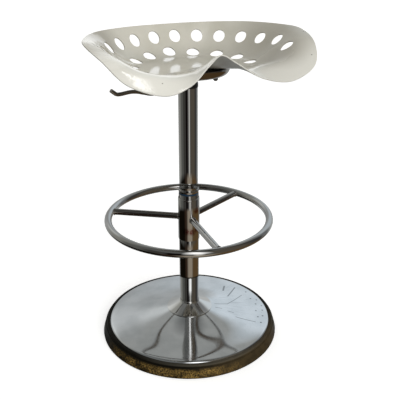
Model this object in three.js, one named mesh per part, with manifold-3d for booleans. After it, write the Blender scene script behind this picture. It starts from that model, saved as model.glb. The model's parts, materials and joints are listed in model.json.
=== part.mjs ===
// A bar stool with a pierced pressed-steel seat on a lifting and turning column, a ring to rest
// the feet on and a heavy round base. Millimetres, +Z up, origin on the floor under the column.
// The seat faces -Y, so the sitter's right hand, where the lever is, lies towards -X.
import * as THREE from "three";
import { mergeVertices } from "three/addons/utils/BufferGeometryUtils.js";
import Module from "manifold-3d";

const wasm = await Module();
wasm.setup();

// General fits
const seatGap = 0.3; // between faces that rest on each other
const slideGap = 0.35; // radial, between parts that slide or turn in each other
const overrun = 2; // how far a cutter runs past the wall that it cuts

// Facets round a circle, by size of the piece
const aroundPlate = 48;
const aroundDish = 36;
const aroundTube = 20;
const aroundSmall = 10;
const weldDistance = 1e-4; // corners closer than this are one corner

// Base
const baseRadius = 200;
const skirtBandHeight = 23; // tall lower band of the rubber skirt
const skirtTaper = 5.5;
const skirtGrooveDepth = 2.2;
const skirtGrooveHeight = 2.4;
const skirtShoulder = 8.2; // plan width of the skirt above its groove
const skirtLipHeight = 2.6;
const skirtFootInset = 1.6;
const skirtWidth = 17.7; // plan width of the skirt at the floor
const coverInset = 16.4; // from the skirt's foot in to the cover's edge
const coverEdgeHeight = 28.5;
const coverSheet = 1.2;
const coverInnerRadius = 40;
const coverRise = 25.5; // from the edge up to the rosette's foot
// The cover from its edge in to the rosette, as shares of the way in and of the rise: a rolled
// edge, then nearly flat, and steepest at the rosette
const coverCurve = [
  [0, 0],
  [0.02, 0.086],
  [0.15, 0.188],
  [0.5, 0.36],
  [0.75, 0.63],
  [1, 1],
];
const padThickness = 3;
const padInset = 24;
const weightPlay = 1; // between the iron weight and the skirt
const weightDisc = 9; // thickness of its flat part
const weightRim = 10; // width of the raised rim that carries the cover's edge
const weightBoss = 7; // wall of the boss round the column's flange

// Rosette, the small cone where the column meets the base
const rosetteRadius = 51.5;
const rosetteHeight = 18;
const rosetteSheet = 1.2;
const rosetteLip = 1.6;
const rosetteNeckBead = 1.5;
const rosetteNeckHeight = 4;

// Column
const lowerTubeRadius = 21.8;
const lowerTubeWall = 1.3;
const lowerTubeTop = 337;
const lowerTubeFoot = 22;
const guideRingHeight = 3.6;
const guideRingInset = 0.4;
const mouthRingHeight = 8;
const mouthRingRound = 1.2;
const upperTubeWall = 1.6;
const upperTubeOverlap = 96; // how much of it stands in the lower tube at the setting shown
const flangeRadius = 46;
const flangeThickness = 6;
const flangeBoltCircle = 34;
const flangeBolts = 4;
const flangeBoltRadius = 4;
const flangeHeadRadius = 6.4;
const flangeHeadHeight = 4.6;
const flangeBoltReach = 9; // into the weight

// Gas spring inside the column
const cylinderRadius = 14;
const cylinderWall = 1.8;
const cylinderLength = 268;
const cylinderCrown = 5;
const glandHeight = 12;
const pistonRodRadius = 5;
const pistonHeight = 9;
const pistonDrop = 196; // from the cylinder's top down to the piston at the setting shown
const carrierHeight = 36; // top of the plate across the lower tube that carries the rod
const carrierThickness = 5;
const thrustWasherRadius = 11;
const thrustWasherHeight = 2.4;
const rodShoulderRadius = 8;
const rodShoulderHeight = 3;
const rodTail = 8; // below the carrier plate
const clipThickness = 1.4;
const clipRadius = 8.5;
const spacerHeight = 14;

// Foot ring
const footRingRadius = 175.5;
const footRingTube = 8;
const footRingHeight = 281;
const footSpokeTube = 7;
const footSpokes = 3;
const footSpokeTurn = -95.5; // degrees, the spoke nearest the front
const footSleeveWall = 1.3;
const footSleeveLow = 50; // sleeve below the ring's plane
const footSleeveHigh = 47; // and above it
const footSleeveChamfer = 0.9;
const footScrewRadius = 3;
const footScrewLength = 7;
const footScrewDrop = 38; // below the ring's plane
const footScrewTurn = 84.5; // degrees, behind the column
const ringFacets = 10;

// Seat hub, the black socket that holds the column's top and the lever
const hubHeight = 41.1;
const hubSkirtHeight = 8;
const hubSkirtRadius = 20.9;
const hubTaperHeight = 5;
const hubNeckRadius = 17.5;
const hubSeatDepth = 8; // how far the cylinder stands in the hub
const hubWeb = 3; // between the cylinder's seat and the lever's slot
const hubWindow = 9.6; // width of the lever's slot
const hubWindowHeight = 17;
const hubWindowBack = 7; // how far the slot runs past the column's axis

// Seat plate and its round chrome housing
const plateRadius = 77;
const plateThickness = 3;
const plateBore = 12;
const housingRimRadius = 85.5;
const housingFloorRadius = 75;
const housingSheet = 1.5;
const housingDepth = 16.2;
const housingSweep = 1.45; // radians that the curve of its wall turns through
const housingSteps = 3;
const housingRimLine = 0.4; // dark line left between the housing's rim and the pan
const seatBoltAcross = 34;
const seatBoltForward = 55;
const seatBoltRadius = 3;
const seatBoltHead = 5.6; // sunk into the plate before the pan is welded on it
const seatBoltHeadHeight = 2.2;
const seatNutRadius = 4.9;
const seatNutHeight = 5;
const seatWasherRadius = 6;
const seatWasherHeight = 1.2;
const seatBoltTail = 1.6;
const spacerTubeRadius = 5;

// Height lever
const leverRadius = 3.9;
const leverHeight = 18.5; // above the top of the column's tube
const leverArm = 13; // pivot to the release pin
const leverEyeRadius = 5.4;
const leverPinRadius = 2;
const leverEndInner = 3; // past the column's axis
const leverTurn = 10; // degrees forward of straight sideways
const leverNeckReach = 23; // its places below are outwards from the column and down from the pivot
const leverDipReach = 77;
const leverDipDrop = 24;
const leverKneeReach = 127;
const leverKneeDrop = 9;
const leverHeelReach = 163;
const leverHeelDrop = 11.5;
const leverTipReach = 176;
const leverTipDrop = 1;
const leverBendShare = 0.35; // how much of each run its bends take
const leverFacets = 8;
const leverSteps = 25;
const releasePinRadius = 3;
const releasePinLength = 12;
const releasePinCrown = 1.5;

// Seat pan, from its flat floor to its rim
const floorHeight = 616;
const panSheet = 2.5;
const panHalfWidth = 227;
const panReach = 180; // column axis to the front of the thigh lobes
const panRise = 65; // floor to the highest rim
// Rim from the pommel between the thighs round one side to the back: shares of the half width,
// the reach and the rise, the sheet's slope at the rim in degrees, and the share of the way out
// from the middle where the flat floor ends.
const rimShares = [
  [0, 0.79, 0.62, 14, 0.28],
  [0.137, 0.832, 0.355, 0, 0.26],
  [0.326, 0.928, -0.055, -22, 0.24],
  [0.564, 1, -0.185, -30, 0.3],
  [0.83, 0.92, 0.135, -30, 0.4],
  [0.957, 0.668, 0.67, -14, 0.46],
  [1, 0.326, 0.94, 2, 0.46],
  [0.936, 0.04, 0.99, 18, 0.46],
  [0.74, -0.345, 0.985, 40, 0.48],
  [0.405, -0.63, 0.945, 56, 0.5],
  [0, -0.714, 0.93, 62, 0.5],
];
const footHandleShare = 0.5; // how long the section leaves the floor level
const rimHandleShare = 0.46; // how long it keeps the rim's slope
const slopeShare = 1e-3; // of a span, to either side of a point where its slope is taken
const panColumnsPerSpan = 3;
const panRows = 7;

// Two rows of holes pierced in the pan: how many, their width along the row and height across
// it, where the row ends as a share of the way from the back to the pommel, and how high up the
// wall it runs at the back and at its ends, as shares of the wall's section.
const upperHoleCount = 14;
const upperHoleWidth = 24.6;
const upperHoleHeight = 28.6;
const upperRowEndShare = 0.49;
const upperRowBackShare = 0.705;
const upperRowSideShare = 0.6;
const upperRowEaseShare = 1; // 1 for a steady drop from the back to the ends
const lowerHoleCount = 9;
const lowerHoleWidth = 27;
const lowerHoleHeight = 27;
const lowerRowEndShare = 0.445;
const lowerRowBackShare = 0.3;
const lowerRowSideShare = 0.07;
const lowerRowEaseShare = 0.7; // below 1 it drops faster near the back
const holeFacets = 12;
const holeOverrun = 6;
const rowSteps = 240;

// Derived places
const floorUnder = floorHeight - panSheet;
const plateTop = floorUnder - seatGap;
const plateUnder = plateTop - plateThickness;
const housingRim = floorUnder - housingRimLine;
const housingFloor = housingRim - housingDepth;
const hubFoot = plateUnder - seatGap - hubHeight;
const upperTubeTop = hubFoot - seatGap;
const upperTubeRadius = lowerTubeRadius - lowerTubeWall - slideGap;
const guideRingFoot = lowerTubeTop + seatGap;
const mouthRingFoot = guideRingFoot + guideRingHeight + seatGap;
const upperTubeFoot = mouthRingFoot + mouthRingHeight - upperTubeOverlap;
const cylinderTop = hubFoot + hubSeatDepth - seatGap;
const cylinderFoot = cylinderTop - cylinderLength;
const leverAxis = upperTubeTop + leverHeight;
const footSleeveRadius = lowerTubeRadius + seatGap + footSleeveWall;
const coverEdgeRadius = baseRadius - coverInset;
const coverTopHeight = coverEdgeHeight + coverRise;
const rosetteTop = coverTopHeight + rosetteHeight;
const weightFoot = padThickness + seatGap;

// Finishes
const finish = (color, metalness, roughness) =>
  new THREE.MeshStandardMaterial({ color, metalness, roughness });
const ivoryPaint = finish(0xe2e0d4, 0, 0.3);
const chromePlate = finish(0xc9ccce, 1, 0.12);
const polishedSteel = finish(0xb9bec3, 1, 0.25);
const bareSteel = finish(0x8d8f90, 1, 0.45);
const castIron = finish(0x3a3a3c, 0.7, 0.7);
const blackPlastic = finish(0x17171a, 0, 0.5);
const bluePlastic = finish(0x1d2a3c, 0, 0.45);
const agedRubber = finish(0x33301f, 0, 0.6);
const greyFelt = finish(0x55534f, 0, 0.95);

// A closed three.js geometry as a solid, and a solid as a geometry
function solidOf(geometry) {
  const bare = geometry.clone();
  bare.deleteAttribute("normal");
  bare.deleteAttribute("uv");
  const merged = mergeVertices(bare, weldDistance);
  const solid = new wasm.Manifold(
    new wasm.Mesh({
      numProp: 3,
      vertProperties: new Float32Array(merged.attributes.position.array),
      triVerts: new Uint32Array(merged.index.array),
    }),
  );
  return solid;
}

function geometryOf(solid) {
  const { numProp, vertProperties, triVerts } = solid.getMesh();
  const places = new Float32Array((vertProperties.length / numProp) * 3);
  for (let i = 0; i < places.length / 3; i++) {
    places.set(vertProperties.subarray(i * numProp, i * numProp + 3), i * 3);
  }
  const geometry = new THREE.BufferGeometry();
  geometry.setAttribute("position", new THREE.BufferAttribute(places, 3));
  geometry.setIndex(new THREE.BufferAttribute(new Uint32Array(triVerts), 1));
  geometry.computeVertexNormals();
  return geometry;
}

// A profile of [radius, height] points turned about Z; it closes on itself or on the axis
function turned(profile, facets) {
  const points = profile.map(([r, z]) => new THREE.Vector2(r, z));
  const closed = profile[0][0] > 0;
  if (closed) points.push(points[0].clone());
  return new THREE.LatheGeometry(points, facets).rotateX(Math.PI / 2);
}

const disc = (radius, low, high, facets) =>
  turned([[0, low], [radius, low], [radius, high], [0, high]], facets);

const sleeve = (inner, outer, low, high, facets) =>
  turned([[inner, low], [outer, low], [outer, high], [inner, high]], facets);

function named(name, geometry, material) {
  const mesh = new THREE.Mesh(geometry, material);
  mesh.name = name;
  return mesh;
}

// A round bar between two points, run on at each end
function bar(from, to, radius, facets, extra = 0) {
  const span = new THREE.Vector3().subVectors(to, from);
  const geometry = new THREE.CylinderGeometry(radius, radius, span.length() + 2 * extra, facets);
  const turn = new THREE.Quaternion().setFromUnitVectors(
    new THREE.Vector3(0, 1, 0),
    span.clone().normalize(),
  );
  const middle = from.clone().add(to).multiplyScalar(1 / 2);
  return geometry.applyQuaternion(turn).translate(middle.x, middle.y, middle.z);
}

// Cover of the base: a sheet that rises to the rosette, and on inside it at the same slope
function coverHeightAt(radius) {
  const inward = (coverEdgeRadius - radius) / (coverEdgeRadius - rosetteRadius);
  const past = coverCurve.findIndex(([share]) => share > inward);
  const next = past < 0 ? coverCurve.length - 1 : past;
  const [fromShare, fromRise] = coverCurve[next - 1];
  const [toShare, toRise] = coverCurve[next];
  const along = (inward - fromShare) / (toShare - fromShare);
  return coverEdgeHeight + coverRise * (fromRise + (toRise - fromRise) * along);
}

function coverProfile(drop) {
  const points = coverCurve.map(([share, rise]) => [
    coverEdgeRadius + (rosetteRadius - coverEdgeRadius) * share,
    coverEdgeHeight + coverRise * rise - drop,
  ]);
  points.push([coverInnerRadius, coverHeightAt(coverInnerRadius) - drop]);
  return points;
}

function baseCover() {
  return turned([...coverProfile(coverSheet).reverse(), ...coverProfile(0)], aroundPlate);
}

// Rubber skirt round the base: tall tapered band, groove, and a shoulder that laps to the cover
function baseSkirt() {
  const inner = baseRadius - skirtWidth;
  const bandRadius = baseRadius - skirtTaper;
  const grooveRadius = bandRadius - skirtGrooveDepth;
  const grooveTop = skirtBandHeight + skirtGrooveHeight;
  const ledge = coverEdgeHeight - coverSheet - seatGap;
  return turned(
    [
      [inner, 0],
      [baseRadius - skirtFootInset, 0],
      [baseRadius, skirtFootInset],
      [baseRadius, skirtFootInset + skirtLipHeight],
      [bandRadius, skirtBandHeight],
      [grooveRadius, skirtBandHeight],
      [grooveRadius, grooveTop],
      [bandRadius - skirtShoulder / 2, coverEdgeHeight],
      [coverEdgeRadius + seatGap, coverEdgeHeight + seatGap],
      [coverEdgeRadius + seatGap, ledge],
      [inner, ledge],
    ],
    aroundPlate,
  );
}

// Places of a ring of holes or screws
function ringPlaces(count, radius, startShare) {
  const places = [];
  for (let i = 0; i < count; i++) {
    const angle = (2 * Math.PI * (i + startShare)) / count;
    places.push([radius * Math.cos(angle), radius * Math.sin(angle)]);
  }
  return places;
}

const flangeBoltPlaces = ringPlaces(flangeBolts, flangeBoltCircle, 1 / 2);

// Iron weight: a flat disc with a raised rim under the cover's edge and a boss that the
// column's flange is bolted into
function baseWeight() {
  const outer = baseRadius - skirtWidth - weightPlay;
  const deck = weightFoot + weightDisc;
  const pocket = flangeRadius + seatGap;
  const boss = pocket + weightBoss;
  const under = (radius) => coverHeightAt(radius) - coverSheet - seatGap;
  let solid = solidOf(
    turned(
      [
        [0, weightFoot],
        [outer, weightFoot],
        [outer, under(outer)],
        [outer - weightRim, under(outer - weightRim)],
        [outer - weightRim, deck],
        [boss, deck],
        [boss, under(boss)],
        [pocket, under(boss)],
        [pocket, lowerTubeFoot - seatGap],
        [0, lowerTubeFoot - seatGap],
      ],
      aroundTube,
    ),
  );
  for (const [x, y] of flangeBoltPlaces) {
    const low = lowerTubeFoot - flangeBoltReach - seatGap;
    const hole = disc(flangeBoltRadius + seatGap, low, lowerTubeFoot + overrun, aroundSmall);
    solid = solid.subtract(solidOf(hole.translate(x, y, 0)));
  }
  return geometryOf(solid);
}

const basePad = () => disc(baseRadius - padInset, 0, padThickness, aroundDish);

// Small cone that closes the cover round the column, with a bead at its neck
function baseRosette() {
  const foot = coverTopHeight + seatGap;
  const neck = lowerTubeRadius + seatGap;
  const neckFoot = rosetteTop;
  return turned(
    [
      [rosetteRadius - rosetteSheet, coverHeightAt(rosetteRadius - rosetteSheet) + seatGap],
      [rosetteRadius, foot],
      [rosetteRadius, foot + rosetteLip],
      [rosetteRadius - rosetteLip, foot + rosetteLip + rosetteSheet / 2],
      [neck + rosetteSheet, neckFoot],
      [neck + rosetteNeckBead, neckFoot + rosetteNeckBead / 2],
      [neck + rosetteNeckBead, neckFoot + rosetteNeckHeight - rosetteNeckBead / 2],
      [neck, neckFoot + rosetteNeckHeight],
      [neck, neckFoot - rosetteSheet],
      [rosetteRadius - rosetteLip - rosetteSheet, foot + rosetteLip - rosetteSheet / 2],
      [rosetteRadius - rosetteSheet, foot + rosetteSheet / 2],
    ],
    aroundDish,
  );
}

// Flange round the column's foot
function tubeFlange() {
  const low = lowerTubeFoot;
  let solid = solidOf(
    sleeve(lowerTubeRadius + seatGap, flangeRadius, low, low + flangeThickness, aroundTube),
  );
  for (const [x, y] of flangeBoltPlaces) {
    const top = low + flangeThickness + overrun;
    const hole = disc(flangeBoltRadius + seatGap, low - overrun, top, aroundSmall);
    solid = solid.subtract(solidOf(hole.translate(x, y, 0)));
  }
  return geometryOf(solid);
}

function flangeBolt([x, y]) {
  const seat = lowerTubeFoot + flangeThickness + seatGap;
  const foot = lowerTubeFoot - flangeBoltReach;
  return turned(
    [
      [0, foot],
      [flangeBoltRadius, foot],
      [flangeBoltRadius, seat],
      [flangeHeadRadius, seat],
      [flangeHeadRadius, seat + flangeHeadHeight],
      [0, seat + flangeHeadHeight],
    ],
    aroundSmall,
  ).translate(x, y, 0);
}

// Fixed tube of the column, its guide ring and the ring that holds the guide in place
const lowerTubeBore = lowerTubeRadius - lowerTubeWall;

const lowerTube = () =>
  sleeve(lowerTubeBore, lowerTubeRadius, lowerTubeFoot, lowerTubeTop, aroundTube);

const guideRing = () =>
  sleeve(
    lowerTubeBore,
    lowerTubeRadius - guideRingInset,
    guideRingFoot,
    guideRingFoot + guideRingHeight,
    aroundTube,
  );

function mouthRing() {
  const top = mouthRingFoot + mouthRingHeight;
  return turned(
    [
      [lowerTubeBore, mouthRingFoot],
      [lowerTubeRadius, mouthRingFoot],
      [lowerTubeRadius, top - mouthRingRound],
      [lowerTubeRadius - mouthRingRound / 2, top],
      [lowerTubeBore, top],
    ],
    aroundTube,
  );
}

// Plate across the lower tube that carries the gas spring's rod
function rodCarrier() {
  return sleeve(
    pistonRodRadius + slideGap,
    lowerTubeBore - seatGap,
    carrierHeight - carrierThickness,
    carrierHeight,
    aroundTube,
  );
}

const washerFoot = carrierHeight + seatGap;
const turningWasherFoot = washerFoot + thrustWasherHeight + seatGap;
const shoulderFoot = turningWasherFoot + thrustWasherHeight + seatGap;
const pistonFoot = cylinderTop - pistonDrop;
const cylinderBore = cylinderRadius - cylinderWall;

const thrustWasher = (foot) =>
  sleeve(
    pistonRodRadius + slideGap,
    thrustWasherRadius,
    foot,
    foot + thrustWasherHeight,
    aroundTube,
  );

// Rod with its shoulder on the thrust washers and a groove for the clip under the carrier
function pistonRod() {
  const under = carrierHeight - carrierThickness - seatGap;
  const groove = pistonRodRadius - clipThickness;
  return turned(
    [
      [0, under - rodTail],
      [pistonRodRadius, under - rodTail],
      [pistonRodRadius, under - clipThickness - seatGap],
      [groove, under - clipThickness - seatGap],
      [groove, under],
      [pistonRodRadius, under],
      [pistonRodRadius, shoulderFoot],
      [rodShoulderRadius, shoulderFoot],
      [rodShoulderRadius, shoulderFoot + rodShoulderHeight],
      [pistonRodRadius, shoulderFoot + rodShoulderHeight],
      [pistonRodRadius, pistonFoot - seatGap],
      [0, pistonFoot - seatGap],
    ],
    aroundSmall,
  );
}

function rodClip() {
  const under = carrierHeight - carrierThickness - seatGap;
  const inner = pistonRodRadius - clipThickness + seatGap;
  return sleeve(inner, clipRadius, under - clipThickness, under, aroundSmall);
}

const piston = () =>
  disc(cylinderBore - slideGap, pistonFoot, pistonFoot + pistonHeight, aroundTube);

// Gas cylinder, open at its foot for the gland and bored at its crown for the release pin
function gasCylinder() {
  const crown = cylinderTop - cylinderCrown;
  return turned(
    [
      [cylinderBore, cylinderFoot],
      [cylinderRadius, cylinderFoot],
      [cylinderRadius, cylinderTop],
      [releasePinRadius + slideGap, cylinderTop],
      [releasePinRadius + slideGap, crown],
      [cylinderBore, crown],
    ],
    aroundTube,
  );
}

const rodGland = () =>
  sleeve(
    pistonRodRadius + slideGap,
    cylinderBore - seatGap,
    cylinderFoot,
    cylinderFoot + glandHeight,
    aroundTube,
  );

// Moving tube of the column and the two rings that keep the cylinder central in it
const upperTube = () =>
  sleeve(
    upperTubeRadius - upperTubeWall,
    upperTubeRadius,
    upperTubeFoot,
    upperTubeTop,
    aroundTube,
  );

function cylinderSpacer(foot) {
  return sleeve(
    cylinderRadius + seatGap,
    upperTubeRadius - upperTubeWall - seatGap,
    foot,
    foot + spacerHeight,
    aroundTube,
  );
}

// Foot ring, its three spokes and the sleeve that they are joined to
function ringTube(tube) {
  const points = [];
  for (let i = 0; i < ringFacets; i++) {
    const angle = (2 * Math.PI * (i + 1 / 2)) / ringFacets;
    points.push([
      footRingRadius + tube * Math.cos(angle),
      footRingHeight + tube * Math.sin(angle),
    ]);
  }
  return turned(points, aroundPlate);
}

const spokeDirection = (index) => {
  const angle = THREE.MathUtils.degToRad(footSpokeTurn) + (2 * Math.PI * index) / footSpokes;
  return new THREE.Vector3(Math.cos(angle), Math.sin(angle), 0);
};

function footSpoke(index) {
  const height = new THREE.Vector3(0, 0, footRingHeight);
  const from = spokeDirection(index).multiplyScalar(lowerTubeRadius).add(height);
  const to = spokeDirection(index).multiplyScalar(footRingRadius).add(height);
  const rod = solidOf(bar(from, to, footSpokeTube, aroundSmall));
  const column = disc(
    footSleeveRadius + seatGap,
    footRingHeight - footSleeveLow,
    footRingHeight + footSleeveHigh,
    aroundTube,
  );
  const cut = rod.subtract(solidOf(column)).subtract(solidOf(ringTube(footRingTube + seatGap)));
  return geometryOf(cut);
}

function screwLine() {
  const angle = THREE.MathUtils.degToRad(footScrewTurn);
  const direction = new THREE.Vector3(Math.cos(angle), Math.sin(angle), 0);
  const height = new THREE.Vector3(0, 0, footRingHeight - footScrewDrop);
  const start = lowerTubeRadius + seatGap;
  const from = direction.clone().multiplyScalar(start).add(height);
  const to = direction.clone().multiplyScalar(start + footScrewLength).add(height);
  return [from, to];
}

function footSleeve() {
  const low = footRingHeight - footSleeveLow;
  const high = footRingHeight + footSleeveHigh;
  const inner = lowerTubeRadius + seatGap;
  const body = turned(
    [
      [inner, low],
      [footSleeveRadius - footSleeveChamfer, low],
      [footSleeveRadius, low + footSleeveChamfer],
      [footSleeveRadius, high - footSleeveChamfer],
      [footSleeveRadius - footSleeveChamfer, high],
      [inner, high],
    ],
    aroundTube,
  );
  const hole = bar(...screwLine(), footScrewRadius + seatGap, aroundSmall, overrun);
  return geometryOf(solidOf(body).subtract(solidOf(hole)));
}

const footScrew = () => bar(...screwLine(), footScrewRadius, aroundSmall);

// The lever's plane: outwards from the column towards the sitter's right and a little forward
const leverOut = new THREE.Vector3(
  -Math.cos(THREE.MathUtils.degToRad(leverTurn)),
  -Math.sin(THREE.MathUtils.degToRad(leverTurn)),
  0,
);
const leverSide = new THREE.Vector3(0, 0, 1).cross(leverOut);

function inLeverPlane(out, height, side = 0) {
  return leverOut
    .clone()
    .multiplyScalar(out)
    .addScaledVector(leverSide, side)
    .add(new THREE.Vector3(0, 0, height));
}

const leverPinLine = (reach) => [
  inLeverPlane(leverArm, leverAxis, -reach),
  inLeverPlane(leverArm, leverAxis, reach),
];

// Hub: skirt on the tube, taper and neck, with a seat for the cylinder and a slot for the lever
function seatHub() {
  const seat = hubFoot + hubSeatDepth;
  const neckFoot = hubFoot + hubSkirtHeight + hubTaperHeight;
  const top = plateUnder - seatGap;
  const outer = turned(
    [
      [cylinderRadius + seatGap, hubFoot],
      [hubSkirtRadius, hubFoot],
      [hubSkirtRadius, hubFoot + hubSkirtHeight],
      [hubNeckRadius, neckFoot],
      [hubNeckRadius, top],
      [releasePinRadius + slideGap, top],
      [releasePinRadius + slideGap, seat],
      [cylinderRadius + seatGap, seat],
    ],
    aroundTube,
  );
  const floor = seat + hubWeb;
  const slotLength = hubWindowBack + hubSkirtRadius + overrun;
  const slot = new THREE.BoxGeometry(slotLength, hubWindow, hubWindowHeight)
    .translate(slotLength / 2 - hubWindowBack, 0, floor + hubWindowHeight / 2)
    .rotateZ(Math.atan2(leverOut.y, leverOut.x));
  const pinHole = bar(...leverPinLine(hubNeckRadius), leverPinRadius + seatGap, aroundSmall);
  return geometryOf(solidOf(outer).subtract(solidOf(slot)).subtract(solidOf(pinHole)));
}

function leverPin() {
  const half = Math.sqrt(hubNeckRadius ** 2 - leverArm ** 2);
  return bar(...leverPinLine(half), leverPinRadius, aroundSmall);
}

// Bent rod of the lever, from over the release pin out to its turned-up tip
function heightLever() {
  const corners = [
    [-leverEndInner, 0],
    [leverNeckReach, 0],
    [leverDipReach, leverDipDrop],
    [leverKneeReach, leverKneeDrop],
    [leverHeelReach, leverHeelDrop],
    [leverTipReach, leverTipDrop],
  ].map(([out, drop]) => inLeverPlane(out, leverAxis - drop));
  const path = new THREE.CurvePath();
  let start = corners[0];
  for (let i = 1; i < corners.length - 1; i++) {
    const into = corners[i].clone().lerp(corners[i - 1], leverBendShare);
    const out = corners[i].clone().lerp(corners[i + 1], leverBendShare);
    path.add(new THREE.LineCurve3(start, into));
    path.add(new THREE.QuadraticBezierCurve3(into, corners[i], out));
    start = out;
  }
  path.add(new THREE.LineCurve3(start, corners[corners.length - 1]));
  const section = new THREE.Shape();
  for (let i = 0; i < leverFacets; i++) {
    const angle = (2 * Math.PI * (i + 1 / 2)) / leverFacets;
    const spot = [leverRadius * Math.cos(angle), leverRadius * Math.sin(angle)];
    if (i) section.lineTo(...spot);
    else section.moveTo(...spot);
  }
  section.closePath();
  const rod = solidOf(
    new THREE.ExtrudeGeometry(section, { steps: leverSteps, extrudePath: path }),
  );
  const half = hubWindow / 2 - slideGap;
  const ends = [inLeverPlane(leverArm, leverAxis, -half), inLeverPlane(leverArm, leverAxis, half)];
  const eye = solidOf(bar(...ends, leverEyeRadius, aroundSmall));
  const hole = solidOf(bar(...ends, leverPinRadius + slideGap, aroundSmall, overrun));
  return geometryOf(rod.add(eye).subtract(hole));
}

// Pin that the lever presses down into the gas spring; its crown stays clear as the lever tilts
function releasePin() {
  const top = leverAxis - leverRadius - seatGap;
  return turned(
    [
      [0, top - releasePinLength],
      [releasePinRadius, top - releasePinLength],
      [releasePinRadius, top - releasePinCrown],
      [releasePinRadius - releasePinCrown, top],
      [0, top],
    ],
    aroundSmall,
  );
}

// Seat plate under the pan, and the round dish that covers it
const seatBoltPlaces = [
  [-seatBoltAcross, -seatBoltForward],
  [seatBoltAcross, -seatBoltForward],
  [-seatBoltAcross, seatBoltForward],
  [seatBoltAcross, seatBoltForward],
];

function drilled(geometry, low, high) {
  let solid = solidOf(geometry);
  for (const [x, y] of seatBoltPlaces) {
    const hole = disc(seatBoltRadius + seatGap, low - overrun, high + overrun, aroundSmall);
    solid = solid.subtract(solidOf(hole.translate(x, y, 0)));
  }
  return geometryOf(solid);
}

function seatPlate() {
  const plate = sleeve(plateBore, plateRadius, plateUnder, plateTop, aroundDish);
  let solid = solidOf(drilled(plate, plateUnder, plateTop));
  for (const [x, y] of seatBoltPlaces) {
    const sink = turned(
      [
        [0, plateUnder - overrun],
        [seatBoltRadius + seatGap, plateUnder - overrun],
        [seatBoltRadius + seatGap, plateTop - seatBoltHeadHeight - seatGap / 2],
        [seatBoltHead + seatGap, plateTop - seatGap / 2],
        [seatBoltHead + seatGap, plateTop + overrun],
        [0, plateTop + overrun],
      ],
      aroundSmall,
    );
    solid = solid.subtract(solidOf(sink.translate(x, y, 0)));
  }
  return geometryOf(solid);
}

function seatHousing() {
  const bore = hubNeckRadius + seatGap;
  const rimRun = housingRimRadius - housingFloorRadius;
  const outside = [[bore, housingFloor]];
  const inside = [[bore, housingFloor + housingSheet]];
  for (let i = 0; i <= housingSteps; i++) {
    const angle = (housingSweep * i) / housingSteps;
    const outShare = Math.sin(angle) / Math.sin(housingSweep);
    const riseShare = (1 - Math.cos(angle)) / (1 - Math.cos(housingSweep));
    const r = housingFloorRadius + rimRun * outShare;
    const z = housingFloor + housingDepth * riseShare;
    outside.push([r, z]);
    if (i < housingSteps) {
      const lean = Math.atan2(housingDepth * Math.sin(angle), rimRun * Math.cos(angle));
      inside.push([r - housingSheet * Math.sin(lean), z + housingSheet * Math.cos(lean)]);
    }
  }
  inside.push([housingRimRadius - housingSheet, housingRim]);
  const dish = turned([...outside, ...inside.reverse()], aroundDish);
  return drilled(dish, housingFloor, housingFloor + housingSheet);
}

function housingSpacer([x, y]) {
  return sleeve(
    seatBoltRadius + seatGap,
    spacerTubeRadius,
    housingFloor + housingSheet + seatGap,
    plateUnder - seatGap,
    aroundSmall,
  ).translate(x, y, 0);
}

const washerTop = housingFloor - seatGap;
const nutTop = washerTop - seatWasherHeight - seatGap;
const boltFoot = nutTop - seatNutHeight - seatBoltTail;

function seatBolt([x, y]) {
  return turned(
    [
      [0, boltFoot],
      [seatBoltRadius, boltFoot],
      [seatBoltRadius, plateTop - seatBoltHeadHeight],
      [seatBoltHead, plateTop],
      [0, plateTop],
    ],
    aroundSmall,
  ).translate(x, y, 0);
}

function seatWasher([x, y]) {
  return sleeve(
    seatBoltRadius + seatGap,
    seatWasherRadius,
    washerTop - seatWasherHeight,
    washerTop,
    aroundSmall,
  ).translate(x, y, 0);
}

function seatNut([x, y]) {
  const hexagon = new THREE.CylinderGeometry(seatNutRadius, seatNutRadius, seatNutHeight, 6)
    .rotateX(Math.PI / 2)
    .translate(0, 0, nutTop - seatNutHeight / 2);
  const bore = disc(
    seatBoltRadius + seatGap,
    nutTop - seatNutHeight - overrun,
    nutTop + overrun,
    aroundSmall,
  );
  return geometryOf(solidOf(hexagon).subtract(solidOf(bore))).translate(x, y, 0);
}

// The pan's rim as a closed row of stations: across, forward, rise, slope, foot share
const halfRim = rimShares.map(([across, forward, rise, slope, foot]) => [
  across * panHalfWidth,
  forward * panReach,
  rise * panRise,
  slope,
  foot,
]);
const otherHalf = halfRim.slice(1, -1).map(([across, ...rest]) => [-across, ...rest]);
const rim = [...halfRim, ...otherHalf.reverse()];
const backStation = halfRim.length - 1;

// The rim between stations, by a smooth curve through them; u counts stations from the pommel
function rimAt(u) {
  const whole = Math.floor(u);
  const t = u - whole;
  const station = (k) => rim[(whole + k + rim.length) % rim.length];
  return station(0).map((here, i) => {
    const before = station(-1)[i];
    const next = station(1)[i];
    const after = station(2)[i];
    const bend = 2 * before - 5 * here + 4 * next - after;
    const twist = 3 * (here - next) + after - before;
    return here + (t / 2) * (next - before + t * (bend + t * twist));
  });
}

// A point of the pan's upper face; v runs up the wall from the flat floor at 0 to the rim at 1
function panPoint(u, v) {
  const [across, forward, rise, slope, foot] = rimAt(u);
  const out = Math.hypot(across, forward);
  const run = out * (1 - foot);
  const lean = THREE.MathUtils.degToRad(slope);
  const section = new THREE.CubicBezierCurve(
    new THREE.Vector2(out - run, floorHeight),
    new THREE.Vector2(out - run + run * footHandleShare, floorHeight),
    new THREE.Vector2(
      out - run * rimHandleShare * Math.cos(lean),
      floorHeight + rise - run * rimHandleShare * Math.sin(lean),
    ),
    new THREE.Vector2(out, floorHeight + rise),
  );
  const spot = section.getPoint(v);
  return new THREE.Vector3((across / out) * spot.x, (-forward / out) * spot.x, spot.y);
}

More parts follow.
